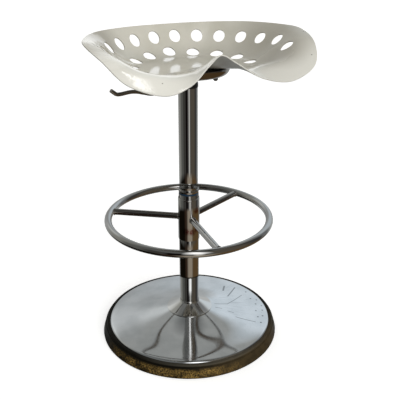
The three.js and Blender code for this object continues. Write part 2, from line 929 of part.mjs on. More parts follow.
// Directions there: along the row, up the wall, and out of the face
function panDirections(u, v) {
  const along = panPoint(u + slopeShare, v).sub(panPoint(u - slopeShare, v)).normalize();
  const up = panPoint(u, v + slopeShare).sub(panPoint(u, v - slopeShare)).normalize();
  const normal = up.clone().cross(along).normalize();
  return { along, normal, across: along.clone().cross(normal) };
}

function panSheetSolid() {
  const columns = rim.length * panColumnsPerSpan;
  const upper = [];
  const under = [];
  for (let row = 0; row <= panRows; row++) {
    for (let column = 0; column < columns; column++) {
      const u = column / panColumnsPerSpan;
      const v = row / panRows;
      const point = panPoint(u, v);
      const { normal } = panDirections(u, v);
      upper.push(...point);
      under.push(...point.addScaledVector(normal, -panSheet));
    }
  }
  upper.push(0, 0, floorHeight);
  under.push(0, 0, floorUnder);
  const centre = columns * (panRows + 1);
  const below = centre + 1;
  const faces = [];
  const both = (a, b, c) => faces.push(a, b, c, a + below, c + below, b + below);
  for (let column = 0; column < columns; column++) {
    const next = (column + 1) % columns;
    both(centre, column, next);
    for (let row = 0; row < panRows; row++) {
      const low = row * columns;
      const high = low + columns;
      both(low + column, high + column, high + next);
      both(low + column, high + next, low + next);
    }
    const edge = panRows * columns;
    faces.push(edge + column, edge + column + below, edge + next + below);
    faces.push(edge + column, edge + next + below, edge + next);
  }
  const geometry = new THREE.BufferGeometry();
  geometry.setAttribute("position", new THREE.Float32BufferAttribute([...upper, ...under], 3));
  geometry.setIndex(faces);
  return solidOf(geometry);
}

// Places of one row of holes, evenly spaced along the wall and mirrored about the back
function holePlaces(count, endShare, backShare, sideShare, easeShare) {
  const reach = endShare * backStation;
  const at = (i) => {
    const side = (2 * i) / rowSteps - 1;
    const drop = (backShare - sideShare) * Math.abs(side) ** easeShare;
    return { u: backStation + side * reach, v: backShare - drop };
  };
  const lengths = [0];
  for (let i = 1; i <= rowSteps; i++) {
    const here = at(i);
    const last = at(i - 1);
    const step = panPoint(here.u, here.v).distanceTo(panPoint(last.u, last.v));
    lengths.push(lengths[i - 1] + step);
  }
  const places = [];
  for (let hole = 0; hole < count; hole++) {
    const wanted = (lengths[rowSteps] * hole) / (count - 1);
    const i = Math.max(1, lengths.findIndex((length) => length >= wanted - weldDistance));
    const share = (wanted - lengths[i - 1]) / (lengths[i] - lengths[i - 1]);
    places.push(at(i - 1 + share));
  }
  return places;
}

function holeCutter({ u, v }, width, height) {
  const { along, normal, across } = panDirections(u, v);
  const length = panSheet + 2 * holeOverrun;
  const middle = panPoint(u, v).addScaledVector(normal, -panSheet / 2);
  const pose = new THREE.Matrix4().makeBasis(along, normal, across).setPosition(middle);
  const cutter = new THREE.CylinderGeometry(1, 1, length, holeFacets)
    .scale(width / 2, 1, height / 2)
    .applyMatrix4(pose);
  return solidOf(cutter);
}

function seatPan() {
  let solid = panSheetSolid();
  const upperRow = holePlaces(
    upperHoleCount,
    upperRowEndShare,
    upperRowBackShare,
    upperRowSideShare,
    upperRowEaseShare,
  );
  for (const place of upperRow) {
    solid = solid.subtract(holeCutter(place, upperHoleWidth, upperHoleHeight));
  }
  const lowerRow = holePlaces(
    lowerHoleCount,
    lowerRowEndShare,
    lowerRowBackShare,
    lowerRowSideShare,
    lowerRowEaseShare,
  );
  for (const place of lowerRow) {
    solid = solid.subtract(holeCutter(place, lowerHoleWidth, lowerHoleHeight));
  }
  return geometryOf(solid);
}

// Assembly: the standing base, the rod that turns in it, the column that lifts, and the lever
const assembly = (name, ...parts) => {
  const group = new THREE.Group();
  group.name = name;
  group.add(...parts);
  return group;
};

const repeated = (name, places, make, material) =>
  places.map((place, i) => named(`${name}_${i + 1}`, make(place), material));

const base = assembly(
  "standing_base",
  named("base_pad", basePad(), greyFelt),
  named("base_weight", baseWeight(), castIron),
  named("base_skirt", baseSkirt(), agedRubber),
  named("base_cover", baseCover(), polishedSteel),
  named("column_rosette", baseRosette(), chromePlate),
  named("tube_flange", tubeFlange(), bareSteel),
  ...repeated("flange_bolt", flangeBoltPlaces, flangeBolt, bareSteel),
  named("lower_tube", lowerTube(), chromePlate),
  named("guide_ring", guideRing(), bluePlastic),
  named("mouth_ring", mouthRing(), chromePlate),
  named("rod_carrier", rodCarrier(), bareSteel),
  named("thrust_washer_lower", thrustWasher(washerFoot), bareSteel),
  named("foot_sleeve", footSleeve(), chromePlate),
  named("foot_ring", ringTube(footRingTube), chromePlate),
  ...repeated("foot_spoke", [...Array(footSpokes).keys()], footSpoke, chromePlate),
  named("foot_screw", footScrew(), bareSteel),
);

const rod = assembly(
  "turning_rod",
  named("piston_rod", pistonRod(), bareSteel),
  named("piston", piston(), blackPlastic),
  named("thrust_washer_upper", thrustWasher(turningWasherFoot), bareSteel),
  named("rod_clip", rodClip(), bareSteel),
);

const column = assembly(
  "lifting_column",
  named("gas_cylinder", gasCylinder(), bareSteel),
  named("rod_gland", rodGland(), blackPlastic),
  ...repeated(
    "cylinder_spacer",
    [cylinderFoot + spacerHeight, hubFoot - 2 * spacerHeight],
    cylinderSpacer,
    blackPlastic,
  ),
  named("upper_tube", upperTube(), chromePlate),
  named("seat_hub", seatHub(), blackPlastic),
  named("lever_pin", leverPin(), bareSteel),
  named("seat_plate", seatPlate(), bareSteel),
  named("seat_housing", seatHousing(), chromePlate),
  ...repeated("housing_spacer", seatBoltPlaces, housingSpacer, bareSteel),
  ...repeated("seat_washer", seatBoltPlaces, seatWasher, bareSteel),
  ...repeated("seat_nut", seatBoltPlaces, seatNut, bareSteel),
  ...repeated("seat_bolt", seatBoltPlaces, seatBolt, bareSteel),
  named("seat_pan", seatPan(), ivoryPaint),
);

const stool = new THREE.Group();
stool.name = "seat_stool";
stool.add(
  base,
  rod,
  column,
  named("height_lever", heightLever(), chromePlate),
  named("release_pin", releasePin(), bareSteel),
);

export default stool;
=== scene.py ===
"""Bar stool with a pierced pressed seat: visible pieces, finishes, floor, lights and camera.

Lengths are metres in the part's own frame: +Z up, the floor at zero, the column on Z and the
sitter facing -Y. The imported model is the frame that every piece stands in.
"""

import json
import math

import bmesh
import bpy
from mathutils import Matrix, Vector


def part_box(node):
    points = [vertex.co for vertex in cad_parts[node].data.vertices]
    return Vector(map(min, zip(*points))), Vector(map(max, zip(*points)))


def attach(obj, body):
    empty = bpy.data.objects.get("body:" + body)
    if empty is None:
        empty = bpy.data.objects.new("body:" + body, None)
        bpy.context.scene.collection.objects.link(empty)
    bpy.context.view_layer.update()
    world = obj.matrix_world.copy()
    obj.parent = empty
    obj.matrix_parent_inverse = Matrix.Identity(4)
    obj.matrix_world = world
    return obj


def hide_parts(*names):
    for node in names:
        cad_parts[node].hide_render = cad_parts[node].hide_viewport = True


bl_info = {
    "name": "Pierced seat bar stool",
    "version": (1, 0, 0),
    "blender": (4, 5, 0),
    "location": "3D View > Sidebar > Stool",
    "description": "Models and finishes a bar stool with a pierced pressed seat",
    "category": "Object",
}

MM = 0.001
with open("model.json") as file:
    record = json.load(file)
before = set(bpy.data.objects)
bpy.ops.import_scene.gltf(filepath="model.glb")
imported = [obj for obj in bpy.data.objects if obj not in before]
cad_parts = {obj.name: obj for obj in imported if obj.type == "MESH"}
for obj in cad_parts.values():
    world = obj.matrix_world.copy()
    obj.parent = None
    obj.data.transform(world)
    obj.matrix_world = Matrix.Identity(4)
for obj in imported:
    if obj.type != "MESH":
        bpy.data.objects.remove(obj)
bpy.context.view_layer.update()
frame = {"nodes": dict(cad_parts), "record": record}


def size(name, text, default):
    return bpy.props.FloatProperty(
        name=name, description=text, default=default, min=0.0, unit="LENGTH", subtype="DISTANCE"
    )


def share(name, text, default):
    return bpy.props.FloatProperty(name=name, description=text, default=default, min=0.0, max=2.0)


def linear(hexadecimal):
    """An sRGB hex colour as the linear RGBA that shaders take"""
    parts = [int(hexadecimal[i : i + 2], 16) / 255 for i in (0, 2, 4)]
    light = [c / 12.92 if c <= 0.04045 else ((c + 0.055) / 1.055) ** 2.4 for c in parts]
    return (*light, 1.0)


def colour(name, text, hexadecimal):
    value = linear(hexadecimal)
    return bpy.props.FloatVectorProperty(
        name=name, description=text, default=value, size=4, min=0.0, max=1.0, subtype="COLOR"
    )


def levels_of(node):
    """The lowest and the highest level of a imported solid"""
    low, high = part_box(node)
    return low.z, high.z


def radius_of(node):
    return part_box(node)[1].y


class StoolSizes(bpy.types.PropertyGroup):
    """Sizes of the visible pieces"""

    pan_width: size("Pan width", "Widest part of the seat pan", 454 * MM)
    pan_reach: size("Pan reach", "From the column to the front of the thigh lobes", 180 * MM)
    pan_rise: size("Pan rise", "From the pan's floor to its highest rim", 65 * MM)
    pan_floor: size("Pan floor", "Height of the pan's flat floor", 616 * MM)
    pan_sheet: size("Pan sheet", "Thickness of the pressed sheet", 2.5 * MM)
    upper_hole: size("Upper holes", "Height of the holes in the upper row", 28.6 * MM)
    lower_hole: size("Lower holes", "Width of the holes in the lower row", 27 * MM)
    dish_rim: size("Dish rim", "Radius of the chrome dish under the pan", 85.5 * MM)
    dish_floor: size("Dish floor", "Radius of the dish's flat floor", 75 * MM)
    dish_sheet: size("Dish sheet", "Thickness of the dish", 1.5 * MM)
    hub_neck: size("Hub neck", "Radius of the black hub's neck", 17.5 * MM)
    hub_slot: size("Hub slot", "Width of the lever's slot", 9.6 * MM)
    fixed_wall: size("Fixed tube's wall", "Wall of the fixed tube and the sleeve", 1.3 * MM)
    lifting_wall: size("Lifting tube's wall", "Wall of the tube that the seat is on", 1.6 * MM)
    ring_radius: size("Foot ring", "Radius of the foot ring's centre line", 175.5 * MM)
    ring_tube: size("Ring tube", "Radius of the foot ring's tube", 8 * MM)
    spoke_tube: size("Spoke tube", "Radius of the spokes", 7 * MM)
    lever_rod: size("Lever rod", "Radius of the lever's rod", 3.9 * MM)
    rosette_edge: size("Rosette edge", "Radius of the rosette's lip", 51.5 * MM)
    base_sheet: size("Base sheet", "Thickness of the base cover and the rosette", 1.2 * MM)


class StoolFinishes(bpy.types.PropertyGroup):
    """Colours and wear of the finishes"""

    # The first enamel tone carries painted light for the thigh lobes, the second painted shade for
    # the bowl
    paint: colour("Paint", "Ivory stove enamel of the thigh lobes", "F0EEE4")
    shaded_enamel: colour("Paint shade", "Greyed enamel of the bowl", "DAD7CB")
    chrome: colour("Chrome", "Chrome plate of the tubes", "CBCAC8")
    plate: colour("Base plate", "Polished sheet of the base cover", "E9ECEE")
    rubber: colour("Skirt", "Aged rubber round the base", "17150F")
    worn: colour("Skirt wear", "Rubbed, dusty places of the skirt", "A38448")
    plastic: colour("Hub plastic", "Black plastic of the hub", "17171A")
    wear: share("Wear", "Strength of the scratches and pits", 1.0)


class Nodes:
    """A node tree being filled, of a finish or of the studio"""

    def __init__(self, tree):
        self.tree = tree
        tree.nodes.clear()

    def add(self, kind, links=None, out=0, **settings):
        """Adds a node with its settings and inputs and gives back one output"""
        made = self.tree.nodes.new("ShaderNode" + kind)
        for key, value in settings.items():
            setattr(made, key, value)
        self.fill(made, links or {})
        return made.outputs[out] if made.outputs else None

    def fill(self, node, links):
        """Sets or links the inputs of a node"""
        for key, value in links.items():
            socket = node.inputs[key]
            if isinstance(value, bpy.types.NodeSocket):
                self.tree.links.new(value, socket)
            else:
                socket.default_value = value


class Surface(Nodes):
    """A finish in the making: its material, shader, Object coordinates and patterns"""

    def __init__(self, name):
        self.material = bpy.data.materials.new(name)
        self.material.use_nodes = True
        super().__init__(self.material.node_tree)
        self.shader = self.add("BsdfPrincipled").node
        self.add("OutputMaterial", {"Surface": self.shader.outputs[0]})
        self.place = self.add("TexCoord", out="Object")

    def cloud(
        self, size_mm, least=0.0, most=1.0, low=0.35, high=0.65, detail=4.0, stretch=(1, 1, 1)
    ):
        """Soft patches about size_mm across that ease from least to most"""
        place = self.add("Mapping", {"Vector": self.place, "Scale": stretch})
        grid = {"Vector": place, "Scale": 1 / (size_mm * MM), "Detail": detail}
        noise = self.add("TexNoise", grid)
        limits = {"From Min": low, "From Max": high, "To Min": least, "To Max": most}
        return self.add("MapRange", {"Value": noise, **limits}, interpolation_type="SMOOTHSTEP")

    def specks(self, spacing_mm, radius_mm, share_of_cells):
        """Small round marks, one in some of the cells of a scattered grid"""
        grid = {"Vector": self.place, "Scale": 1 / (spacing_mm * MM)}
        cells = self.add("TexVoronoi", grid, out="Distance")
        edge = radius_mm / spacing_mm
        spot = self.add("MapRange", {"Value": cells, "From Min": edge, "From Max": edge / 2})
        cell = self.add("SeparateColor", {"Color": cells.node.outputs["Color"]})
        chosen = self.add("Math", {0: cell, 1: share_of_cells}, operation="LESS_THAN")
        return self.add("Math", {0: spot, 1: chosen}, operation="MULTIPLY")

    def near(self, centre, reach_mm, edge_mm):
        """One within reach_mm of a point, falling to nothing over edge_mm"""
        away = self.add("VectorMath", {0: self.place, 1: centre}, out="Value", operation="DISTANCE")
        limits = {"From Min": (reach_mm + edge_mm) * MM, "From Max": reach_mm * MM}
        return self.add("MapRange", {"Value": away, **limits})

    def rising(self, axis, start_mm, end_mm):
        """Nothing up to one place along an axis, rising to one at another"""
        along = self.add("SeparateXYZ", {"Vector": self.place}, out=axis)
        limits = {"From Min": start_mm * MM, "From Max": end_mm * MM}
        return self.add("MapRange", {"Value": along, **limits})

    def stroke(self, place, start_mm, end_mm, half_mm):
        """One along a straight scratch on the flat, soft at its sides and ends"""
        start, end = Vector((*start_mm, 0)) * MM, Vector((*end_mm, 0)) * MM
        way = (end - start).normalized()
        along = self.add("VectorMath", {0: place, 1: way}, out="Value", operation="DOT_PRODUCT")
        limits = {"From Min": start.dot(way), "From Max": end.dot(way)}
        share_of_run = self.add("MapRange", {"Value": along, **limits})
        foot = self.add("Mix", {0: share_of_run, 4: start, 5: end}, out=1, data_type="VECTOR")
        away = self.add("VectorMath", {0: place, 1: foot}, out="Value", operation="DISTANCE")
        limits = {"From Min": half_mm * MM, "From Max": half_mm / 3 * MM}
        return self.add("MapRange", {"Value": away, **limits})

    def any_of(self, masks):
        """Where the strongest of the masks is"""
        top = masks[0]
        for mask in masks[1:]:
            top = self.add("Math", {0: top, 1: mask}, operation="MAXIMUM")
        return top

    def both(self, *masks):
        """Where all the masks hold"""
        held = masks[0]
        for mask in masks[1:]:
            held = self.add("Math", {0: held, 1: mask}, operation="MULTIPLY")
        return held

    def coated(self, tone, *coats):
        """A colour under coats, each a mask and the colour that it lets on"""
        for mask, over in coats:
            coat = {0: mask, 6: tone, 7: linear(over) if isinstance(over, str) else over}
            tone = self.add("Mix", coat, out=2, data_type="RGBA")
        return tone

    def embossed(self, *reliefs):
        """The normal under reliefs, each a height, its depth in millimetres and its strength"""
        normal = {}
        for height, depth_mm, strength in reliefs:
            relief = {"Height": height, "Distance": depth_mm * MM, "Strength": strength}
            normal = {"Normal": self.add("Bump", {**relief, **normal})}
        return normal["Normal"]

    def finished(self, tone, rough, normal, constants):
        """The material, once its shader has its inputs"""
        look = {"Base Color": tone, "Roughness": rough, "Normal": normal, **constants}
        self.fill(self.shader, look)
        return self.material


# Marks on the pan, in metres: darker patches of painted shade with some grime, each with its
# reach and soft edge in millimetres and its strength, then four old chips, two on the right
# lobe, one on the left one, one by the pommel
SHADE_AND_DIRT = (
    ((-0.16, 0.05, 0.668), 25, 45, 0.7),
    ((0.15, -0.1, 0.635), 20, 45, 0.5),
    ((0.19, -0.01, 0.66), 30, 70, 0.4),
)
CHIPS = [(0.22, -0.076, 0.673), (0.193, -0.146, 0.641), (-0.1225, -0.1565, 0.62)]
CHIPS += [(0.104, 0.049, 0.624)]
# Rust that blooms on the sleeve, with its reach in millimetres and its strength
SLEEVE_STAINS = (
    ((-0.015, -0.018, 0.254), 7, 1.0),
    ((-0.003, -0.023, 0.253), 7, 1.0),
    ((0.006, -0.022, 0.255), 5, 0.9),
    ((0.008, -0.022, 0.302), 6, 0.9),
)
# On the base cover, in millimetres: scratches, each from, to and half its width, and pits
SCRATCHES = (
    ((129, 68), (115, 48), 3.0),
    ((150, 52), (111, 17), 2.2),
    ((57, -17), (90, -19), 1.2),
    ((90, -19), (147, 12), 1.3),
    ((52, -31), (66, -36), 1.2),
    ((76, -47), (87, -55), 1.3),
    ((84, -71), (118, -102), 1.3),
)
RIM_PITS = [(165, 23), (159, -10), (170, -20), (158, -36), (168, -47), (124, -57), (143, -62)]
RIM_PITS += [(159, -65), (134, -86), (147, -86), (129, -108), (111, 17), (148, 50)]


def enamel(finishes):
    """Stove enamel on pressed steel: thick, glossy, a little yellowed, with faint orange peel"""
    skin = Surface("ivory_stove_enamel")
    cloud = skin.cloud(90, low=0.38, high=0.66, detail=3)
    # Painted light makes the thigh lobes lighter and painted shade greys the bowl behind them
    lit_lobes = skin.any_of([skin.rising("Y", -105, -150), skin.near((-0.205, -0.115, 0.655), 20, 25)])
    # Painted shade in the bowl's hollows, mixed with some grime
    shade_and_dirt = skin.any_of([skin.both(skin.near(*place), strength) for *place, strength in SHADE_AND_DIRT])
    pits = skin.both(skin.specks(26, 0.7, 0.3), 0.75 * finishes.wear)
    pits = skin.any_of([pits, *(skin.near(chip, 0.7, 0.9) for chip in CHIPS)])
    # The bowl's painted shade, mottled, under the painted light of the lobes
    tone = skin.coated(finishes.shaded_enamel, (cloud, "D1CEC0"), (lit_lobes, finishes.paint))
    tone = skin.coated(tone, (shade_and_dirt, "A39C8B"), (pits, "6E675A"))
    peel = skin.cloud(2.2, low=0.2, high=0.8, detail=2)
    # Pressing folds stand upright in the high wall, 12 mm apart
    upright = skin.cloud(12, low=0.3, high=0.7, detail=2, stretch=(1, 1, 0.15))
    folds = skin.both(upright, skin.rising("Z", 640, 670))
    # Fine creases on the lever-side lobe: across its rolled edge and over its front
    across = skin.cloud(5, low=0.2, high=0.8, detail=1, stretch=(0.4, 1.6, 0.6))
    across = skin.both(skin.near((-0.204, -0.098, 0.666), 16, 22), across)
    front = skin.cloud(4, 0, 0.25, 0.2, 0.8, 3)
    front = skin.both(skin.near((-0.163, -0.163, 0.622), 18, 14), front)
    creases = skin.both(skin.any_of([across, front]), finishes.wear)
    normal = skin.embossed((peel, 0.03, 0.5), (folds, 0.35, 0.6), (creases, 1.1, 0.75))
    # The gloss is rubbed dull where thighs and hands slide
    dull = [skin.near((0.14, -0.09, 0.63), 30, 35), skin.near((-0.21, -0.065, 0.67), 18, 30)]
    gloss = skin.cloud(14, 0.05, 0.1, 0.3, 0.75, 5)
    rough = skin.add("Math", {0: skin.any_of(dull), 1: 0.35, 2: gloss}, operation="MULTIPLY_ADD")
    return skin.finished(tone, rough, normal, {"IOR": 1.52})


def chrome(finishes, name, plate=None, stains=()):
    """Chrome on polished tube: a near mirror with faint drawing lines, haze and a few rust pits"""
    skin = Surface(name)
    pits = skin.both(skin.specks(9, 0.5, 0.16), finishes.wear)
    rust = skin.both(pits, 0.8)
    for centre, reach_mm, strength in stains:
        patch = skin.cloud(3, 0.45, 1.0, detail=5)
        bloom = skin.both(skin.near(centre, reach_mm / 2, reach_mm), patch, strength)
        rust = skin.any_of([rust, bloom])
    tone = skin.coated(linear(plate) if plate else finishes.chrome, (rust, "7A2418"))
    haze = skin.cloud(22, 0.015, 0.045, 0.35, 0.75, 5)
    rough = skin.add("Math", {0: pits, 1: 0.3, 2: haze}, operation="MULTIPLY_ADD")
    drawn = skin.cloud(1.6, low=0.2, high=0.8, detail=3, stretch=(1, 1, 0.02))
    return skin.finished(tone, rough, skin.embossed((drawn, 0.006, 0.4)), {"Metallic": 1.0})


def polished_plate(finishes):
    """Polished and plated sheet: a soft mirror, buffed in rings, pitted and scuffed at one side"""
    skin = Surface("polished_base_plate")
    across = skin.add("SeparateXYZ", {"Vector": skin.place})
    flat = skin.add("VectorMath", {0: skin.place, 1: (1, 1, 0)}, operation="MULTIPLY")
    out = skin.add("VectorMath", {0: flat}, out="Value", operation="LENGTH")
    turn = skin.add("Math", {0: across.node.outputs["Y"], 1: across}, operation="ARCTAN2")

    def streaks(turn_scale, out_scale, spacing_mm, detail):
        """Noise drawn out round the column or away from it"""
        round_way, run = skin.both(turn, turn_scale), skin.both(out, out_scale)
        place = skin.add("CombineXYZ", {"X": round_way, "Y": run})
        grid = {"Vector": place, "Scale": 1 / (spacing_mm * MM), "Detail": detail}
        return skin.add("TexNoise", grid)

    # Buffing rings 4 mm apart, coarser than real ones so that they show, and barely deep
    rings = streaks(0.03, 1.0, 4, 3.0)
    # Scratches run out from the column and end in a scatter of dark pits near the rim
    scratches = skin.any_of([skin.stroke(flat, *line) for line in SCRATCHES])
    pits = skin.any_of([skin.near((x * MM, y * MM, 33 * MM), 0.9, 2.0) for x, y in RIM_PITS])
    # Fine scuffs run out too, 9 mm apart
    rays = streaks(150 * MM, 0.14, 9, 2.0)
    rays = skin.add("MapRange", {"Value": rays, "From Min": 0.55, "From Max": 0.75})
    scuffs = skin.both(rays, skin.near((0.11, 0.0, 0.037), 30, 60), 0.22)
    fine = skin.both(skin.specks(6, 0.9, 0.3), skin.near((0.1, -0.09, 0.035), 50, 60), 0.4)
    marks = skin.any_of([skin.both(scratches, 0.6), skin.both(pits, 0.85), scuffs, fine])
    marks = skin.both(marks, finishes.wear)
    cloud = skin.cloud(42, detail=5)
    tone = skin.coated(finishes.plate, (cloud, "F6F8FA"), (marks, "4B4F55"))
    haze = skin.cloud(34, 0.06, 0.1, 0.3, 0.7, 5)
    rough = skin.add("Math", {0: marks, 1: 0.3, 2: haze}, operation="MULTIPLY_ADD")
    return skin.finished(tone, rough, skin.embossed((rings, 0.0007, 0.5)), {"Metallic": 1.0})


def aged_rubber(finishes):
    """Brownish black rubber, satin where whole, rubbed to dusty khaki at the front, with painted
    light
    """
    skin = Surface("aged_rubber")
    above = skin.rising("Z", 1, 4)
    # The rubbed stretch lies round the front, densest a little to the lever's side
    front = skin.near((-0.13, -0.16, 0.012), 90, 90)
    patches = skin.cloud(22, low=0.3, high=0.56, detail=7, stretch=(1, 1, 1.6))
    grit = skin.cloud(2.4, low=0.35, high=0.7)
    worn = skin.both(patches, above, skin.rising("Z", 23, 17), grit, front)
    # Painted reflection: the brown floor's reflection painted on the skirt's front right
    far = skin.both(skin.near((0.09, -0.19, 0.012), 70, 110), skin.cloud(16, 0.7, 1.0), above)
    # A painted highlight runs along the shoulder above the groove, in grey
    shoulder_highlight = skin.both(skin.rising("Z", 25, 27), skin.near((-0.03, -0.2, 0.027), 60, 120), 0.4)
    tone = skin.coated(finishes.rubber, (far, "463B28"), (shoulder_highlight, "6B665A"), (worn, finishes.worn))
    grain = skin.embossed((skin.cloud(3, low=0.2, high=0.8), 0.2, 0.5))
    rough = skin.cloud(9, 0.34, 0.5, 0.3, 0.7, 5)
    return skin.finished(tone, rough, grain, {"IOR": 1.5, "Specular IOR Level": 0.07})


def plain_finish(finishes, name, main, second, patch_mm, rough, grain_mm, depth_mm, constants):
    """Shop finishes of the small and hidden pieces: two close tones and a fine grain"""
    skin = Surface(name)
    main = linear(main) if main else finishes.plastic
    tone = skin.coated(main, (skin.cloud(patch_mm), second))
    haze = skin.cloud(patch_mm / 2, rough * 0.85, rough * 1.15, 0.3, 0.7, 3)
    grain = skin.cloud(grain_mm, low=0.2, high=0.8, detail=3)
    return skin.finished(tone, haze, skin.embossed((grain, depth_mm, 0.5)), constants)


# Plain finishes: name, two tones, the size of their patches in millimetres, roughness, the
# grain's size and depth in millimetres, and what else the shader takes
PLAIN_FINISHES = {
    # Moulded acetal, satin from its mould
    "black_plastic": ("black_acetal", None, "1E1E20", 8, 0.42, 1.2, 0.02, {"IOR": 1.48}),
    "blue_plastic": ("blue_acetal", "1D3242", "22405A", 6, 0.35, 1.2, 0.02, {"IOR": 1.48}),
    # Turned mild steel, lightly oiled
    "bare_steel": ("turned_steel", "8F8D88", "75726C", 7, 0.34, 1.2, 0.02, {"Metallic": 1.0}),
    # Sand-cast iron with a rough skin
    "cast_iron": ("sand_cast_iron", "34322F", "403B36", 14, 0.7, 2.0, 0.25, {"Metallic": 0.8}),
    # Pressed wool felt, all fibres and no gloss
    "grey_felt": ("pressed_felt", "57544F", "6A665F", 5, 0.95, 0.9, 0.35, {"IOR": 1.45}),
}
# The maker of each finish and what it is given
FINISH_MAKERS = {
    "ivory_paint": (enamel,),
    "chrome_plate": (chrome, "chrome_plate"),
    # Darker and brighter copies of the chrome: painted shade and painted light
    "shaded_chrome": (chrome, "shaded_chrome_plate", "A19D98"),
    "lit_chrome": (chrome, "lit_chrome_plate", "F2F1EF"),
    "stained_chrome": (chrome, "stained_chrome_plate", None, SLEEVE_STAINS),
    "polished_steel": (polished_plate,),
    "aged_rubber": (aged_rubber,),
    **{slot: (plain_finish, *details) for slot, details in PLAIN_FINISHES.items()},
}
# Finishes made so far, by slot
made_finishes = {}


def finish(slot):
    """The material of a finish, made once"""
    if slot not in made_finishes:
        maker, *details = FINISH_MAKERS[slot]
        made_finishes[slot] = maker(bpy.context.scene.stool_finishes, *details)
    return made_finishes[slot]


SMOOTH_UP_TO = 38  # degrees between two faces past which their edge stays crisp
MERGED = 0.001 * MM  # corners nearer than this are one
# Steps round the round pieces
ROUND_TUBE, ROUND_HUB, ROUND_ROSETTE = 128, 96, 160
ROUND_BASE = 192  # and round the foot ring
ROUND_SPOKE, ROUND_BOLT, ROUND_HOLE = 36, 40, 56
PLAY = 0.3 * MM  # round a tube in the sheet that it goes through


def linked(name, data):
    """A new object in the scene"""
    made = bpy.data.objects.new(name, data)
    bpy.context.scene.collection.objects.link(made)
    return made


def object_of(bm, name):
    """A new object with a finished bmesh as its mesh"""
    mesh = bpy.data.meshes.new(name)
    bm.to_mesh(mesh)
    bm.free()
    return linked(name, mesh)


def shade(bm, sharp_deg):
    """Smooths the faces and keeps the edges crisp that are sharper than an angle"""
    for face in bm.faces:
        face.smooth = True
    for edge in bm.edges:
        edge.smooth = edge.calc_face_angle(0.0) < math.radians(sharp_deg)


def placed(bm, name, body, slot, nodes, sharp_deg=SMOOTH_UP_TO):
    """Makes the finished piece, rides it on its body and hides the solids that it stands for"""
    if not bm.faces:
        raise RuntimeError(f"{name} came out with no faces")
    shade(bm, sharp_deg)
    piece = object_of(bm, name)
    piece.data.materials.append(finish(slot))
    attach(piece, body)
    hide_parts(*nodes)
    return piece


def turn_about_column(bm, steps):
    """Spins a wire round the column into a closed body"""
    wire = bm.verts[:] + bm.edges[:]
    turn = {"cent": (0, 0, 0), "axis": (0, 0, 1), "angle": 2 * math.pi}
    bmesh.ops.spin(bm, geom=wire, **turn, steps=steps, use_merge=True)
    bmesh.ops.remove_doubles(bm, verts=bm.verts, dist=MERGED)
    bmesh.ops.recalc_face_normals(bm, faces=bm.faces)


def turned(outline, steps, edge=0.0, closed=True):
    """A body of revolution from (radius, height) points, its corners off the axis rounded"""
    bm = bmesh.new()
    corners = [bm.verts.new((r, 0, z)) for r, z in outline]
    for first, second in zip(corners, corners[1:]):
        bm.edges.new((first, second))
    if closed:
        bm.edges.new((corners[-1], corners[0]))
    if edge:
        bevel(bm, [v for v in corners if v.co.x > edge], "VERTICES", edge, 3)
    turn_about_column(bm, steps)
    return bm


def bevel(bm, parts, kind, offset, segments):
    """Rounds corners of a wire or edges of a body"""
    bmesh.ops.bevel(
        bm,
        geom=parts,
        offset=offset,
        offset_type="OFFSET",
        affect=kind,
        segments=segments,
        profile=0.5,
        material=-1,
        clamp_overlap=True,
    )


def round_edges(bm, angle_deg, offset, segments):
    """Rounds the edges of a closed body that are sharper than an angle"""
    sharp = [e for e in bm.edges if e.calc_face_angle(0.0) > math.radians(angle_deg)]
    bevel(bm, sharp, "EDGES", offset, segments)


def tube(inner, outer, low, high, steps, edge):
    return turned([(inner, low), (outer, low), (outer, high), (inner, high)], steps, edge)


def hoop(tube_radius, facets, radius, level, steps):
    """A round tube bent into a hoop about the column's axis"""
    bm = bmesh.new()
    bmesh.ops.create_circle(bm, segments=facets, radius=tube_radius)
    upright = Matrix.Rotation(math.pi / 2, 3, "X")
    bmesh.ops.rotate(bm, verts=bm.verts, cent=(0, 0, 0), matrix=upright)
    bmesh.ops.translate(bm, verts=bm.verts, vec=(radius, 0, level))
    turn_about_column(bm, steps)
    return bm


def joined(bm, other):
    """Adds one bmesh to another"""
    mesh = bpy.data.meshes.new("join")
    other.to_mesh(mesh)
    other.free()
    bm.from_mesh(mesh)
    bpy.data.meshes.remove(mesh)


def pointed(way, place):
    """The pose that turns +Z to a direction and stands at a place"""
    pose = way.to_track_quat("Z", "Y").to_matrix().to_4x4()
    pose.translation = place
    return pose


def cut(piece, cutter):
    """Takes the cutter out of a piece with an exact boolean and removes it"""
    boolean = piece.modifiers.new("cut", "BOOLEAN")
    boolean.operation = "DIFFERENCE"
    boolean.solver = "EXACT"
    boolean.object = cutter
    graph = bpy.context.evaluated_depsgraph_get()
    shaped = bpy.data.meshes.new_from_object(piece.evaluated_get(graph))
    if not shaped.polygons or len(shaped.polygons) == len(piece.data.polygons):
        raise RuntimeError(f"the cut left {piece.name} without its openings")
    piece.modifiers.clear()
    old, spent = piece.data, cutter.data
    piece.data = shaped
    shaped.name = old.name
    bpy.data.objects.remove(cutter)
    bpy.data.meshes.remove(old)
    bpy.data.meshes.remove(spent)


# Rim of the pan from the pommel round one side to the back: shares of the half width, the
# reach and the rise, the sheet's slope at the rim in degrees, and where the flat floor ends.
RIM_SHARES = (
    (0, 0.79, 0.62, 14, 0.28),
    (0.137, 0.832, 0.355, 0, 0.26),
    (0.326, 0.928, -0.055, -22, 0.24),
    (0.564, 1, -0.185, -30, 0.3),
    (0.83, 0.92, 0.135, -30, 0.4),
    (0.957, 0.668, 0.67, -14, 0.46),
    (1, 0.326, 0.94, 2, 0.46),
    (0.936, 0.04, 0.99, 18, 0.46),
    (0.74, -0.345, 0.985, 40, 0.48),
    (0.405, -0.63, 0.945, 56, 0.5),
    (0, -0.714, 0.93, 62, 0.5),
)
